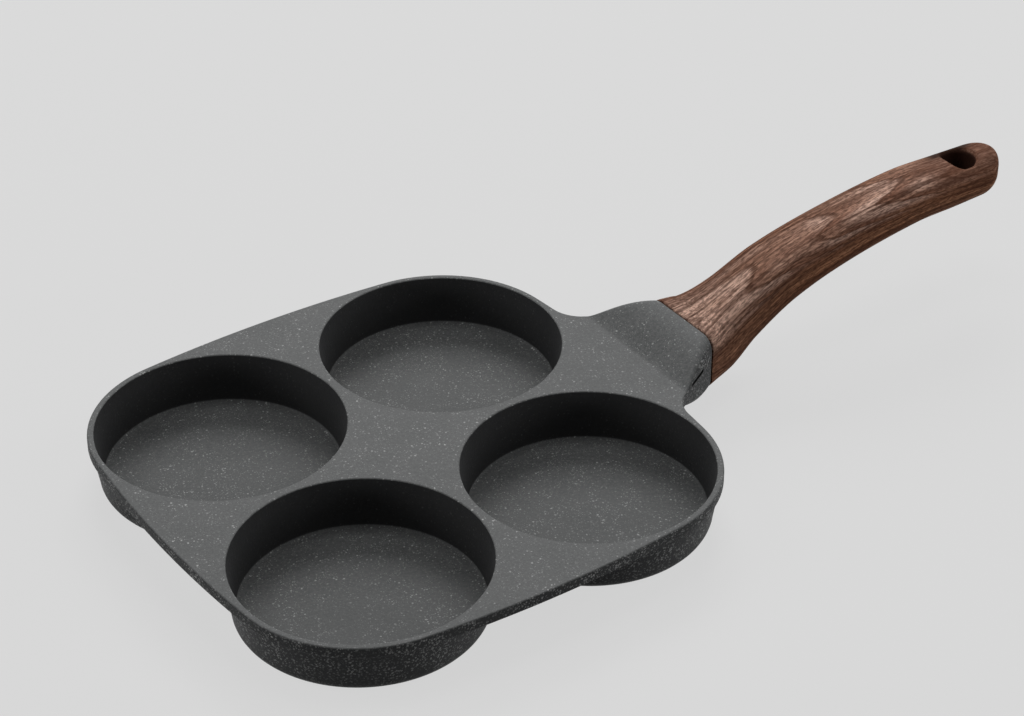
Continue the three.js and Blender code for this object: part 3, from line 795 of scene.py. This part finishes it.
def build_screw():
    margin = GRID_MARGIN * SCREW_GRID
    reach = SCREW_HEAD_RADIUS + margin
    low = (-reach, -reach, SCREW_HEAD_UNDER - margin)
    high = (reach, reach, SCREW_END + margin)
    points, faces = net_surface(screw_field, low, high, SCREW_GRID)
    placed = [TENON_FRAME @ Vector((x + SCREW_SETBACK, y, z)) for x, y, z in points]
    piece = finish_mesh("handle_screw_cross", placed, faces, SCREW_SHARP)
    stand_for(piece, "handle_screw")
    return piece


def build_discs():
    """Perforated steel plates, one mesh shown in each cup base."""
    skin = Skin()
    holes = []
    for ring in range(1, PERFORATION_RINGS + 1):
        count = PERFORATIONS_A_RING * ring
        reach = ring * PERFORATION_PITCH
        for i in range(count):
            angle = 2 * math.pi * i / count
            holes.append((reach * math.cos(angle), reach * math.sin(angle)))
    rims = [flat_circle(hole, PERFORATION_RADIUS, PERFORATION_STEPS) for hole in holes]

    def clear(spot):
        return all(math.dist(spot, hole) > PERFORATION_RADIUS * PERFORATION_KEEP for hole in holes)

    inner = flat_circle((0, 0), DISC_RADIUS - DISC_EDGE)
    rows = []
    for z, side in ((DISC_UNDER, 1), (DISC_TOP, -1)):
        skin.flat([inner] + rims, clear, lambda spot: (spot[0], spot[1], z))
        rows.append([(x, y, z) for x, y in inner])
        rows.append(circle((0, 0), DISC_RADIUS, z + side * DISC_EDGE))
    skin.strips([rows[0], rows[1], rows[3], rows[2]])
    for rim in rims:
        skin.strip([(x, y, DISC_UNDER) for x, y in rim], [(x, y, DISC_TOP) for x, y in rim])
    first = finish_mesh("base_disc_1_perforated", skin.points, skin.faces, DISC_SHARP)
    pieces = [first]
    for i in range(1, len(CAVITY_CENTRES)):
        copy = first.copy()
        copy.name = f"base_disc_{i + 1}_perforated"
        bpy.context.scene.collection.objects.link(copy)
        pieces.append(copy)
    for i, (piece, (x, y)) in enumerate(zip(pieces, CAVITY_CENTRES)):
        piece.location = (x, y, 0)
        stand_for(piece, f"base_disc_{i + 1}")
    return pieces


# Materials are made of nodes; an input is a value or another node's output
def new_material(name):
    material = bpy.data.materials.new(name)
    material.use_nodes = True
    material.node_tree.nodes.clear()
    return material


def add_node(tree, kind, inputs=None, **settings):
    node = tree.nodes.new("ShaderNode" + kind)
    for key, value in settings.items():
        setattr(node, key, value)
    for key, value in (inputs or {}).items():
        if isinstance(value, bpy.types.NodeSocket):
            tree.links.new(value, node.inputs[key])
        else:
            node.inputs[key].default_value = value
    return node


def mathed(tree, operation, *values):
    inputs = {i: value for i, value in enumerate(values)}
    return add_node(tree, "Math", inputs, operation=operation).outputs[0]


def times(tree, first, *others):
    for other in others:
        first = mathed(tree, "MULTIPLY", first, other)
    return first


def vector_math(tree, operation, *values):
    inputs = {i: value for i, value in enumerate(values)}
    node = add_node(tree, "VectorMath", inputs, operation=operation)
    return node.outputs["Value" if operation in ("LENGTH", "DOT_PRODUCT") else "Vector"]


def ranged(tree, value, low, high, to_low, to_high, kind="SMOOTHSTEP"):
    inputs = {"Value": value, "From Min": low, "From Max": high, "To Min": to_low, "To Max": to_high}
    return add_node(tree, "MapRange", inputs, interpolation_type=kind).outputs["Result"]


def rising(tree, value, low, high):
    return ranged(tree, value, low, high, 0.0, 1.0)


def falling(tree, value, low, high):
    return ranged(tree, value, low, high, 1.0, 0.0)


def ridge(tree, value, start, full, fall, end):
    """Rises from nought to one between start and full, and falls back between fall and end."""
    return times(tree, rising(tree, value, start, full), falling(tree, value, fall, end))


def noise(tree, place, scale, detail=3.0, roughness=0.55):
    inputs = {"Vector": place, "Scale": scale, "Detail": detail, "Roughness": roughness}
    return add_node(tree, "TexNoise", inputs)


def scaled(tree, place, scale):
    inputs = {"Vector": place, "Scale": scale}
    return add_node(tree, "Mapping", inputs).outputs["Vector"]


def swayed(tree, place, colour, reach):
    """Place moved by up to half the reach either way, after the colour of a noise."""
    centred = vector_math(tree, "SUBTRACT", colour, (0.5, 0.5, 0.5))
    return vector_math(tree, "ADD", place, vector_math(tree, "MULTIPLY", centred, reach))


def mixed(tree, share, first, second):
    node = add_node(tree, "Mix", data_type="RGBA")
    sockets = {"Factor_Float": share, "A_Color": first, "B_Color": second}
    for socket in node.inputs:
        if socket.identifier in sockets:
            value = sockets[socket.identifier]
            if isinstance(value, bpy.types.NodeSocket):
                tree.links.new(value, socket)
            else:
                socket.default_value = value
    return next(socket for socket in node.outputs if socket.identifier == "Result_Color")


def tinted(tree, colour, mask, strength, tint):
    return mixed(tree, times(tree, mask, strength), colour, tint)


def bumped(tree, height, strength, distance, invert=False):
    inputs = {"Strength": strength, "Distance": distance, "Height": height}
    return add_node(tree, "Bump", inputs, invert=invert).outputs["Normal"]


def close_material(tree, colour, roughness, normal, finish):
    """Surface whose colour, roughness and normal come from nodes, with its finish set on its own sockets."""
    inputs = {"Base Color": colour, "Roughness": roughness, "Normal": normal, **finish}
    surface = add_node(tree, "BsdfPrincipled", inputs).outputs[0]
    add_node(tree, "OutputMaterial", {"Surface": surface})


# Stone coat, in linear colours; the upright, wall, floor and slot colours are painted shade
STONE_DEEP = (0.094, 0.098, 0.0975, 1)
STONE_CLOUD = (0.112, 0.115, 0.115, 1)
STONE_GRAIN = (0.175, 0.178, 0.178, 1)
STONE_UPRIGHT_SHADE = (0.034, 0.035, 0.036, 1)
STONE_FLOOR_SHADE = (0.04, 0.043, 0.0425, 1)
STONE_FLECK = (0.5, 0.505, 0.5, 1)
STONE_WALL_SHADE = (0.02, 0.02, 0.021, 1)
STONE_SLOT_SHADE = (0.004, 0.004, 0.004, 1)
STONE_RELIEF = 0.09 * MM
STONE_FINISH = {"Specular IOR Level": 0.12}

# Flecks of the coat: cells in a metre, share of them with a fleck, its least and largest radius in cells
LARGE_FLECKS = (740, 0.45, 0.14, 0.38)
SMALL_FLECKS = (1250, 0.8, 0.18, 0.42)
SALT_FLECKS = (950, 0.95, 0.25, 0.55)
FLECK_CORE = 0.6
FLECK_FAINTEST = 0.45
FLECK_TEAR = 0.9 * MM
SALT_LEAST = 0.2


def flecks(tree, place, scale, share, small, large):
    """Scattered spots: a share of the cells hold one, with a radius between small and large of a cell."""
    cells = add_node(tree, "TexVoronoi", {"Vector": place, "Scale": scale}, feature="F1")
    pick = add_node(tree, "SeparateColor", {"Color": cells.outputs["Color"]})
    radius = ranged(tree, pick.outputs[0], 0, 1, small, large, "LINEAR")
    spot = falling(tree, cells.outputs["Distance"], times(tree, radius, FLECK_CORE), radius)
    shown = mathed(tree, "LESS_THAN", pick.outputs[1], share)
    strength = ranged(tree, pick.outputs[2], 0, 1, FLECK_FAINTEST, 1.0, "LINEAR")
    return times(tree, spot, shown, strength)


def turned_out(tree, place, normal):
    """How far a face is turned away from its own cavity's axis, from -1 on the inside of a wall to 1."""
    side = vector_math(tree, "SIGN", place)
    folded = vector_math(tree, "SUBTRACT", vector_math(tree, "ABSOLUTE", place), (HALF_PITCH, HALF_PITCH, 0))
    folded = vector_math(tree, "MULTIPLY", folded, (1, 1, 0))
    outward = vector_math(tree, "NORMALIZE", folded)
    return vector_math(tree, "DOT_PRODUCT", vector_math(tree, "MULTIPLY", normal, side), outward)


def in_groove(tree, along, above):
    """One inside the slots in the neck's flanks, nought elsewhere."""
    half = GROOVE_WIDTH / 2
    off_level = mathed(tree, "ABSOLUTE", mathed(tree, "SUBTRACT", above, GROOVE_Z))
    off_middle = mathed(tree, "ABSOLUTE", mathed(tree, "SUBTRACT", along, GROOVE_MIDDLE))
    level = falling(tree, off_level, half, half + GROOVE_SLOPE)
    return times(tree, level, falling(tree, off_middle, GROOVE_HALF, GROOVE_HALF + GROOVE_SLOPE))


def stone_coat():
    """Grey stone-effect coat: mottled, with pale flecks and salt on upright faces, and painted shade on the
    outer upright faces, the cavity walls and floors and the neck's slots.
    """
    material = new_material("stone_coat")
    tree = material.node_tree
    place = add_node(tree, "TexCoord").outputs["Object"]
    parts = add_node(tree, "SeparateXYZ", {0: place})
    above = parts.outputs["Z"]
    normal = add_node(tree, "NewGeometry").outputs["Normal"]
    level = mathed(tree, "ABSOLUTE", add_node(tree, "SeparateXYZ", {0: normal}).outputs["Z"])
    steep = falling(tree, level, 0.35, 0.85)
    turned = turned_out(tree, place, normal)
    inner_wall = rising(tree, turned, -0.75, -0.97)
    outer_wall = times(tree, steep, rising(tree, turned, -0.35, -0.1))
    floor = falling(tree, above, FLOOR_Z, FLOOR_Z + CAVITY_FILLET)
    torn = swayed(tree, place, noise(tree, place, 1900, 2).outputs["Color"], (FLECK_TEAR,) * 3)
    large = flecks(tree, torn, *LARGE_FLECKS)
    small = flecks(tree, torn, *SMALL_FLECKS)
    fade = ranged(tree, above, BASE_Z, BASE_Z + SALT_FADE, SALT_LEAST, 1.0)
    salt = times(tree, flecks(tree, torn, *SALT_FLECKS), outer_wall, fade)
    crowd = ranged(tree, noise(tree, place, 110, 2).outputs["Fac"], 0.35, 0.6, 0.35, 1.0)
    spots = mathed(tree, "MAXIMUM", large, times(tree, small, 0.5))
    spots = times(tree, mathed(tree, "MAXIMUM", spots, salt), crowd)
    cloud = rising(tree, noise(tree, place, 55, 4).outputs["Fac"], 0.3, 0.7)
    grain = rising(tree, noise(tree, place, 750, 3, 0.75).outputs["Fac"], 0.32, 0.68)
    colour = mixed(tree, cloud, STONE_DEEP, STONE_CLOUD)
    colour = tinted(tree, colour, grain, 0.7, STONE_GRAIN)
    # Painted shade: upright faces turned away from the cavities, the outside of the cups among them, are
    # darkened
    colour = tinted(tree, colour, outer_wall, 0.85, STONE_UPRIGHT_SHADE)
    # Painted shade: the cavity floors and the lowest part of the cups are darkened a little
    colour = tinted(tree, colour, floor, 0.25, STONE_FLOOR_SHADE)
    colour = mixed(tree, spots, colour, STONE_FLECK)
    # Painted shade: the inner walls of the cavities are darkened almost to black
    colour = tinted(tree, colour, inner_wall, 0.9, STONE_WALL_SHADE)
    # Painted shade: the slots in the neck's flanks are painted near black
    colour = mixed(tree, in_groove(tree, parts.outputs["X"], above), colour, STONE_SLOT_SHADE)
    relief = mathed(tree, "ADD", times(tree, spots, 0.5), grain)
    shine = ranged(tree, grain, 0, 1, 0.52, 0.66, "LINEAR")
    close_material(tree, colour, shine, bumped(tree, relief, 0.35, STONE_RELIEF), STONE_FINISH)
    return material


# Wood print: growth rings about a sinking heart line under the handle, so that they arch on its top
RINGS_PER_METRE = 460
RING_FLATNESS = 1.2
RING_PHASE = 0.68
RING_SWAYS = (((10, 40, 40), 2 * MM), ((40, 190, 190), 0.9 * MM), ((120, 700, 700), 0.4 * MM))
FINE_RINGS = 6
HEART_HEIGHT = -12 * MM
HEART_SLOPE = -0.055
HEART_ASIDE = -4 * MM
HEART_VEER = 0.035
GRAIN_SWAY = 2 * MM
WOOD_RELIEF = 0.06 * MM
WOOD_FINISH = {"Specular IOR Level": 0.02}

# Where the wood print and the painted light and shade on it change: along the handle from the seam, across
# to its far side, and above its middle
ROOT_LIGHT_RUN = (5 * MM, 60 * MM)
PRINT_ROOT_TONGUE = (5 * MM, 40 * MM)
PRINT_GAP = (42 * MM, 52 * MM, 62 * MM, 74 * MM)
PRINT_END = (115 * MM, 135 * MM)
SHADE_BY_HOLE = (132 * MM, 140 * MM, 156 * MM, 164 * MM)
PRINT_ACROSS = (3 * MM, 11 * MM)
SHADE_FAR_EDGE = (4 * MM, 12 * MM)
SHADE_FAR_RIM = (3 * MM, 6 * MM)
PRINT_TOP = (2 * MM, 9 * MM)
SHADE_UPPER = (4 * MM, 6.5 * MM)

# Linear colours of the wood print; its side and top copies differ as painted light and shade, the root
# colour is painted light, the far-edge, far-rim and cut-out colours are painted shade, and the end colour
# darkens the top towards the tip
WOOD_SIDE_DARK = (0.25, 0.104, 0.056, 1)
WOOD_TOP_DARK = (0.3, 0.143, 0.092, 1)
WOOD_SIDE_PALE = (0.62, 0.296, 0.165, 1)
WOOD_TOP_PALE = (0.53, 0.29, 0.2, 1)
WOOD_ROOT_LIGHT = (0.66, 0.38, 0.27, 1)
WOOD_TONGUE = (0.96, 0.635, 0.5, 1)
WOOD_ARCH = (0.075, 0.031, 0.017, 1)
WOOD_VEIN = (0.06, 0.024, 0.014, 1)
WOOD_FIBRE = (0.1, 0.043, 0.027, 1)
WOOD_SPECK = (0.05, 0.022, 0.015, 1)
WOOD_END = (0.12, 0.05, 0.03, 1)
WOOD_FAR_EDGE_SHADE = (0.12, 0.05, 0.032, 1)
WOOD_FAR_RIM_SHADE = (0.03, 0.014, 0.01, 1)
WOOD_CUT_OUT_SHADE = (0.07, 0.033, 0.024, 1)


def streaks(tree, place, scale, low, high, detail=2):
    """Streaks of noise drawn out along the grain: nought where the noise is low and one where it is high."""
    drawn = noise(tree, scaled(tree, place, scale), 1, detail)
    return rising(tree, drawn.outputs["Fac"], low, high)


def wood_rings(tree, lay, along, across, above):
    """Count of growth rings outwards from the heart line, with the wander of real growth."""
    heart = mathed(tree, "MULTIPLY_ADD", along, HEART_SLOPE, HEART_HEIGHT)
    height = mathed(tree, "SUBTRACT", above, heart)
    aside = mathed(tree, "MULTIPLY_ADD", along, HEART_VEER, HEART_ASIDE)
    side = times(tree, mathed(tree, "SUBTRACT", across, aside), RING_FLATNESS)
    squares = mathed(tree, "ADD", mathed(tree, "POWER", side, 2), mathed(tree, "POWER", height, 2))
    ring = mathed(tree, "SQRT", squares)
    for scale, sway in RING_SWAYS:
        drift = noise(tree, scaled(tree, lay, scale), 1, 2).outputs["Fac"]
        ring = mathed(tree, "MULTIPLY_ADD", drift, sway, ring)
    return mathed(tree, "MULTIPLY_ADD", ring, RINGS_PER_METRE, RING_PHASE)


def wood_look():
    """Printed wood: pale tongues between arched rings on top and long lines on the sides, with top and side
    tones set apart as painted light and shade, painted light at the root and painted shade on the far edge,
    the hole's far rim and in the cut-outs.
    """
    material = new_material("wood_look")
    tree = material.node_tree
    lay = add_node(tree, "Attribute", attribute_name="grain").outputs["Vector"]
    outer_skin = add_node(tree, "Attribute", attribute_name="outer_skin").outputs["Fac"]
    parts = add_node(tree, "SeparateXYZ", {0: lay})
    along, across, above = (parts.outputs[axis] for axis in "XYZ")
    count = wood_rings(tree, lay, along, across, above)
    turns = mathed(tree, "FRACT", count)
    fine = mathed(tree, "FRACT", times(tree, count, FINE_RINGS))
    top = times(tree, rising(tree, above, *PRINT_TOP), ranged(tree, across, *PRINT_ACROSS, 1.0, 0.2))
    end = rising(tree, along, *PRINT_END)
    shaded_upper = rising(tree, above, *SHADE_UPPER)
    far_edge_shade = times(tree, shaded_upper, rising(tree, across, *SHADE_FAR_EDGE))
    far_rim_shade = times(tree, ridge(tree, along, *SHADE_BY_HOLE), shaded_upper, rising(tree, across, *SHADE_FAR_RIM))
    near_root_light = falling(tree, along, *ROOT_LIGHT_RUN)
    gap = ridge(tree, along, *PRINT_GAP)
    wave = noise(tree, scaled(tree, lay, (30, 100, 100)), 1, 2).outputs["Color"]
    flow = swayed(tree, lay, wave, (0, GRAIN_SWAY, GRAIN_SWAY))
    band = streaks(tree, flow, (8, 330, 330), 0.35, 0.65)
    vein = streaks(tree, flow, (7, 480, 480), 0.57, 0.68)
    fibre = streaks(tree, flow, (22, 1000, 1000), 0.4, 0.61)
    speck = streaks(tree, flow, (420, 1500, 1500), 0.42, 0.64, 1)
    patch = streaks(tree, lay, (16, 110, 110), 0.35, 0.6, 3)
    tongue = times(tree, ridge(tree, turns, 0.1, 0.65, 0.8, 0.95), top)
    for mask, low, high in ((patch, 0.5, 1.0), (gap, 1.0, 0.25), (end, 1.0, 0.3)):
        tongue = times(tree, tongue, ranged(tree, mask, 0, 1, low, high))
    root = times(tree, ranged(tree, along, *PRINT_ROOT_TONGUE, 0.9, 0.0), top)
    tongue = mathed(tree, "MAXIMUM", tongue, root)
    arches = times(tree, ridge(tree, fine, 0.2, 0.7, 0.8, 1.0), 0.4)
    arches = mathed(tree, "MAXIMUM", arches, ridge(tree, turns, 0.8, 0.93, 0.95, 1.0))
    # Painted light and shade: the top and the sides get differently toned copies of the print
    dark = mixed(tree, top, WOOD_SIDE_DARK, WOOD_TOP_DARK)
    pale = mixed(tree, top, WOOD_SIDE_PALE, WOOD_TOP_PALE)
    colour = mixed(tree, band, dark, pale)
    layers = (
        # painted light: lighter towards the root
        (near_root_light, 0.25, WOOD_ROOT_LIGHT),
        (tongue, 0.85, WOOD_TONGUE),
        (arches, 0.62, WOOD_ARCH),
        (vein, 0.65, WOOD_VEIN),
        (fibre, 0.6, WOOD_FIBRE),
        (speck, 0.55, WOOD_SPECK),
        (times(tree, end, top), 0.5, WOOD_END),
        # painted shade: darker far edge of the top
        (far_edge_shade, 0.5, WOOD_FAR_EDGE_SHADE),
        # painted shade: near-black rim beyond the hole's far side
        (far_rim_shade, 0.92, WOOD_FAR_RIM_SHADE),
    )
    for mask, strength, tint in layers:
        colour = tinted(tree, colour, mask, strength, tint)
    # Painted shade: the walls inside the cut-outs are painted dark
    colour = mixed(tree, outer_skin, WOOD_CUT_OUT_SHADE, colour)
    relief = mathed(tree, "ADD", mathed(tree, "ADD", fibre, speck), vein)
    shine = ranged(tree, fibre, 0, 1, 0.52, 0.66, "LINEAR")
    close_material(tree, colour, shine, bumped(tree, relief, 0.3, WOOD_RELIEF, invert=True), WOOD_FINISH)
    return material


# Steel, in linear colours, with its turning lines counted along a metre
STEEL_DARK = (0.44, 0.44, 0.445, 1)
STEEL_BRIGHT = (0.62, 0.62, 0.625, 1)
STEEL_SMUDGE = (0.38, 0.375, 0.37, 1)
STEEL_RELIEF = 0.02 * MM
STEEL_FINISH = {"Metallic": 1.0}
DISC_LINES = 2600
FASTENER_LINES = 5200


def turned_steel(name, lines_per_metre):
    """Bright steel with fine turning lines about the object's origin and faint smudges."""
    material = new_material(name)
    tree = material.node_tree
    place = add_node(tree, "TexCoord").outputs["Object"]
    from_middle = vector_math(tree, "LENGTH", scaled(tree, place, (1, 1, 0)))
    turning = {"W": times(tree, from_middle, lines_per_metre), "Scale": 1.0, "Detail": 3.0}
    turning = add_node(tree, "TexNoise", turning, noise_dimensions="1D")
    lines = rising(tree, turning.outputs["Fac"], 0.3, 0.7)
    smudge = rising(tree, noise(tree, place, 90, 3).outputs["Fac"], 0.35, 0.7)
    colour = mixed(tree, lines, STEEL_DARK, STEEL_BRIGHT)
    colour = tinted(tree, colour, smudge, 0.3, STEEL_SMUDGE)
    shine = ranged(tree, smudge, 0, 1, 0.3, 0.48, "LINEAR")
    close_material(tree, colour, shine, bumped(tree, lines, 0.3, STEEL_RELIEF), STEEL_FINISH)
    return material


def dress(piece, material):
    piece.data.materials.clear()
    piece.data.materials.append(material)


# Floor and backdrop: pale to the eye, darker to the light it throws back, and open when seen from below
FLOOR_SIZE = 8
FLOOR_GLOW = 0.62
FLOOR_PAINT = 0.1
FLOOR_BOUNCE = 0.06
WORLD_FILL = 0.02


def grey(level):
    return (level, level, level, 1)


def shows_background(tree):
    """One for the rays that show the background: straight from the eye, in gloss or through glass."""
    ray = add_node(tree, "LightPath")
    mirrored = mathed(tree, "MAXIMUM", ray.outputs["Is Glossy Ray"], ray.outputs["Is Transmission Ray"])
    return mathed(tree, "MAXIMUM", ray.outputs["Is Camera Ray"], mirrored)


def floor_paint():
    material = new_material("studio_floor")
    tree = material.node_tree
    glow = add_node(tree, "Emission", {"Color": grey(FLOOR_GLOW), "Strength": 1.0}).outputs[0]
    paint = add_node(tree, "BsdfDiffuse", {"Color": grey(FLOOR_PAINT)}).outputs[0]
    dim = add_node(tree, "BsdfDiffuse", {"Color": grey(FLOOR_BOUNCE)}).outputs[0]
    pale = add_node(tree, "AddShader", {0: glow, 1: paint}).outputs[0]
    shown = add_node(tree, "MixShader", {0: shows_background(tree), 1: dim, 2: pale}).outputs[0]
    clear = add_node(tree, "BsdfTransparent").outputs[0]
    below = add_node(tree, "NewGeometry").outputs["Backfacing"]
    surface = add_node(tree, "MixShader", {0: below, 1: shown, 2: clear}).outputs[0]
    add_node(tree, "OutputMaterial", {"Surface": surface})
    return material


def build_floor():
    half = FLOOR_SIZE / 2
    corners = [(-half, -half, BASE_Z), (half, -half, BASE_Z), (half, half, BASE_Z), (-half, half, BASE_Z)]
    mesh = bpy.data.meshes.new("studio_floor")
    mesh.from_pydata(corners, [], [(0, 1, 2, 3)])
    floor = add_object("studio_floor", mesh)
    dress(floor, floor_paint())


def build_world():
    world = bpy.data.worlds.new("studio")
    bpy.context.scene.world = world
    world.use_nodes = True
    tree = world.node_tree
    tree.nodes.clear()
    pale = {"Color": grey(FLOOR_GLOW + FLOOR_PAINT), "Strength": 1.0}
    faint = {"Color": grey(1), "Strength": WORLD_FILL}
    pale = add_node(tree, "Background", pale).outputs[0]
    faint = add_node(tree, "Background", faint).outputs[0]
    surface = add_node(tree, "MixShader", {0: shows_background(tree), 1: faint, 2: pale}).outputs[0]
    add_node(tree, "OutputWorld", {"Surface": surface})


# Studio lamps, by their bearing from the view: 0 is behind the pan, 90 to its left and 270 to its right
VIEW_ALONG = Vector((0.5677, 0.8232, 0))
LAMP_TARGET = Vector((0.05, 0, 0))


def add_lamp(name, bearing, rise, distance, width, height, power):
    """Soft box that faces the pan: bearing and rise in degrees, sizes in metres, power in watts."""
    light = bpy.data.lights.new(name, "AREA")
    light.shape = "RECTANGLE"
    light.size = width
    light.size_y = height
    light.energy = power
    lamp = add_object(name, light)
    level = Matrix.Rotation(math.radians(bearing), 3, "Z") @ VIEW_ALONG
    reach = level * math.cos(math.radians(rise)) + Vector((0, 0, math.sin(math.radians(rise))))
    lamp.location = LAMP_TARGET + reach * distance
    lamp.rotation_mode = "QUATERNION"
    lamp.rotation_quaternion = (-reach).to_track_quat("-Z", "Y")


def build_lights():
    add_lamp("sheen_behind", 1, 36, 2.6, 1.4, 1.1, 37)
    add_lamp("key_above", 0, 80, 1.6, 0.7, 0.7, 4.9)
    add_lamp("box_left", 90, 40, 1.6, 0.7, 0.7, 3.4)
    add_lamp("box_right", 270, 40, 1.6, 0.7, 0.7, 2.9)
    add_lamp("low_left", 112, 8, 3, 0.8, 0.5, 16)
    add_lamp("low_right", 250, 8, 3, 0.8, 0.5, 14)
    add_lamp("low_behind_right", 300, 12, 3, 0.9, 0.6, 8.8)


# Camera of the photo, fitted to the rims of the cavities
CAMERA_PLACE = (-0.4877, -0.7829, 0.6580)
CAMERA_TARGET = (0.0696, 0.0257, 0.00017)
CAMERA_LENS = 101.69
CAMERA_SENSOR = 36


def build_camera():
    data = bpy.data.cameras.new("photo_view")
    data.lens = CAMERA_LENS
    data.sensor_width = CAMERA_SENSOR
    camera = add_object("photo_view", data)
    camera.location = CAMERA_PLACE
    camera.rotation_mode = "QUATERNION"
    camera.rotation_quaternion = (Vector(CAMERA_TARGET) - Vector(CAMERA_PLACE)).to_track_quat("-Z", "Y")
    bpy.context.scene.camera = camera


build_camera()
pan_body = build_pan_body()
handle = build_handle()
screw = build_screw()
discs = build_discs()

dress(pan_body, stone_coat())
dress(handle, wood_look())
disc_steel = turned_steel("disc_steel", DISC_LINES)
fastener_steel = turned_steel("fastener_steel", FASTENER_LINES)
dress(screw, fastener_steel)
for disc in discs:
    dress(disc, disc_steel)
for node in ("spring_washer", "flat_washer"):
    dress(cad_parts[node], fastener_steel)

build_floor()
build_world()
build_lights()
bpy.context.scene.view_settings.view_transform = "Standard"
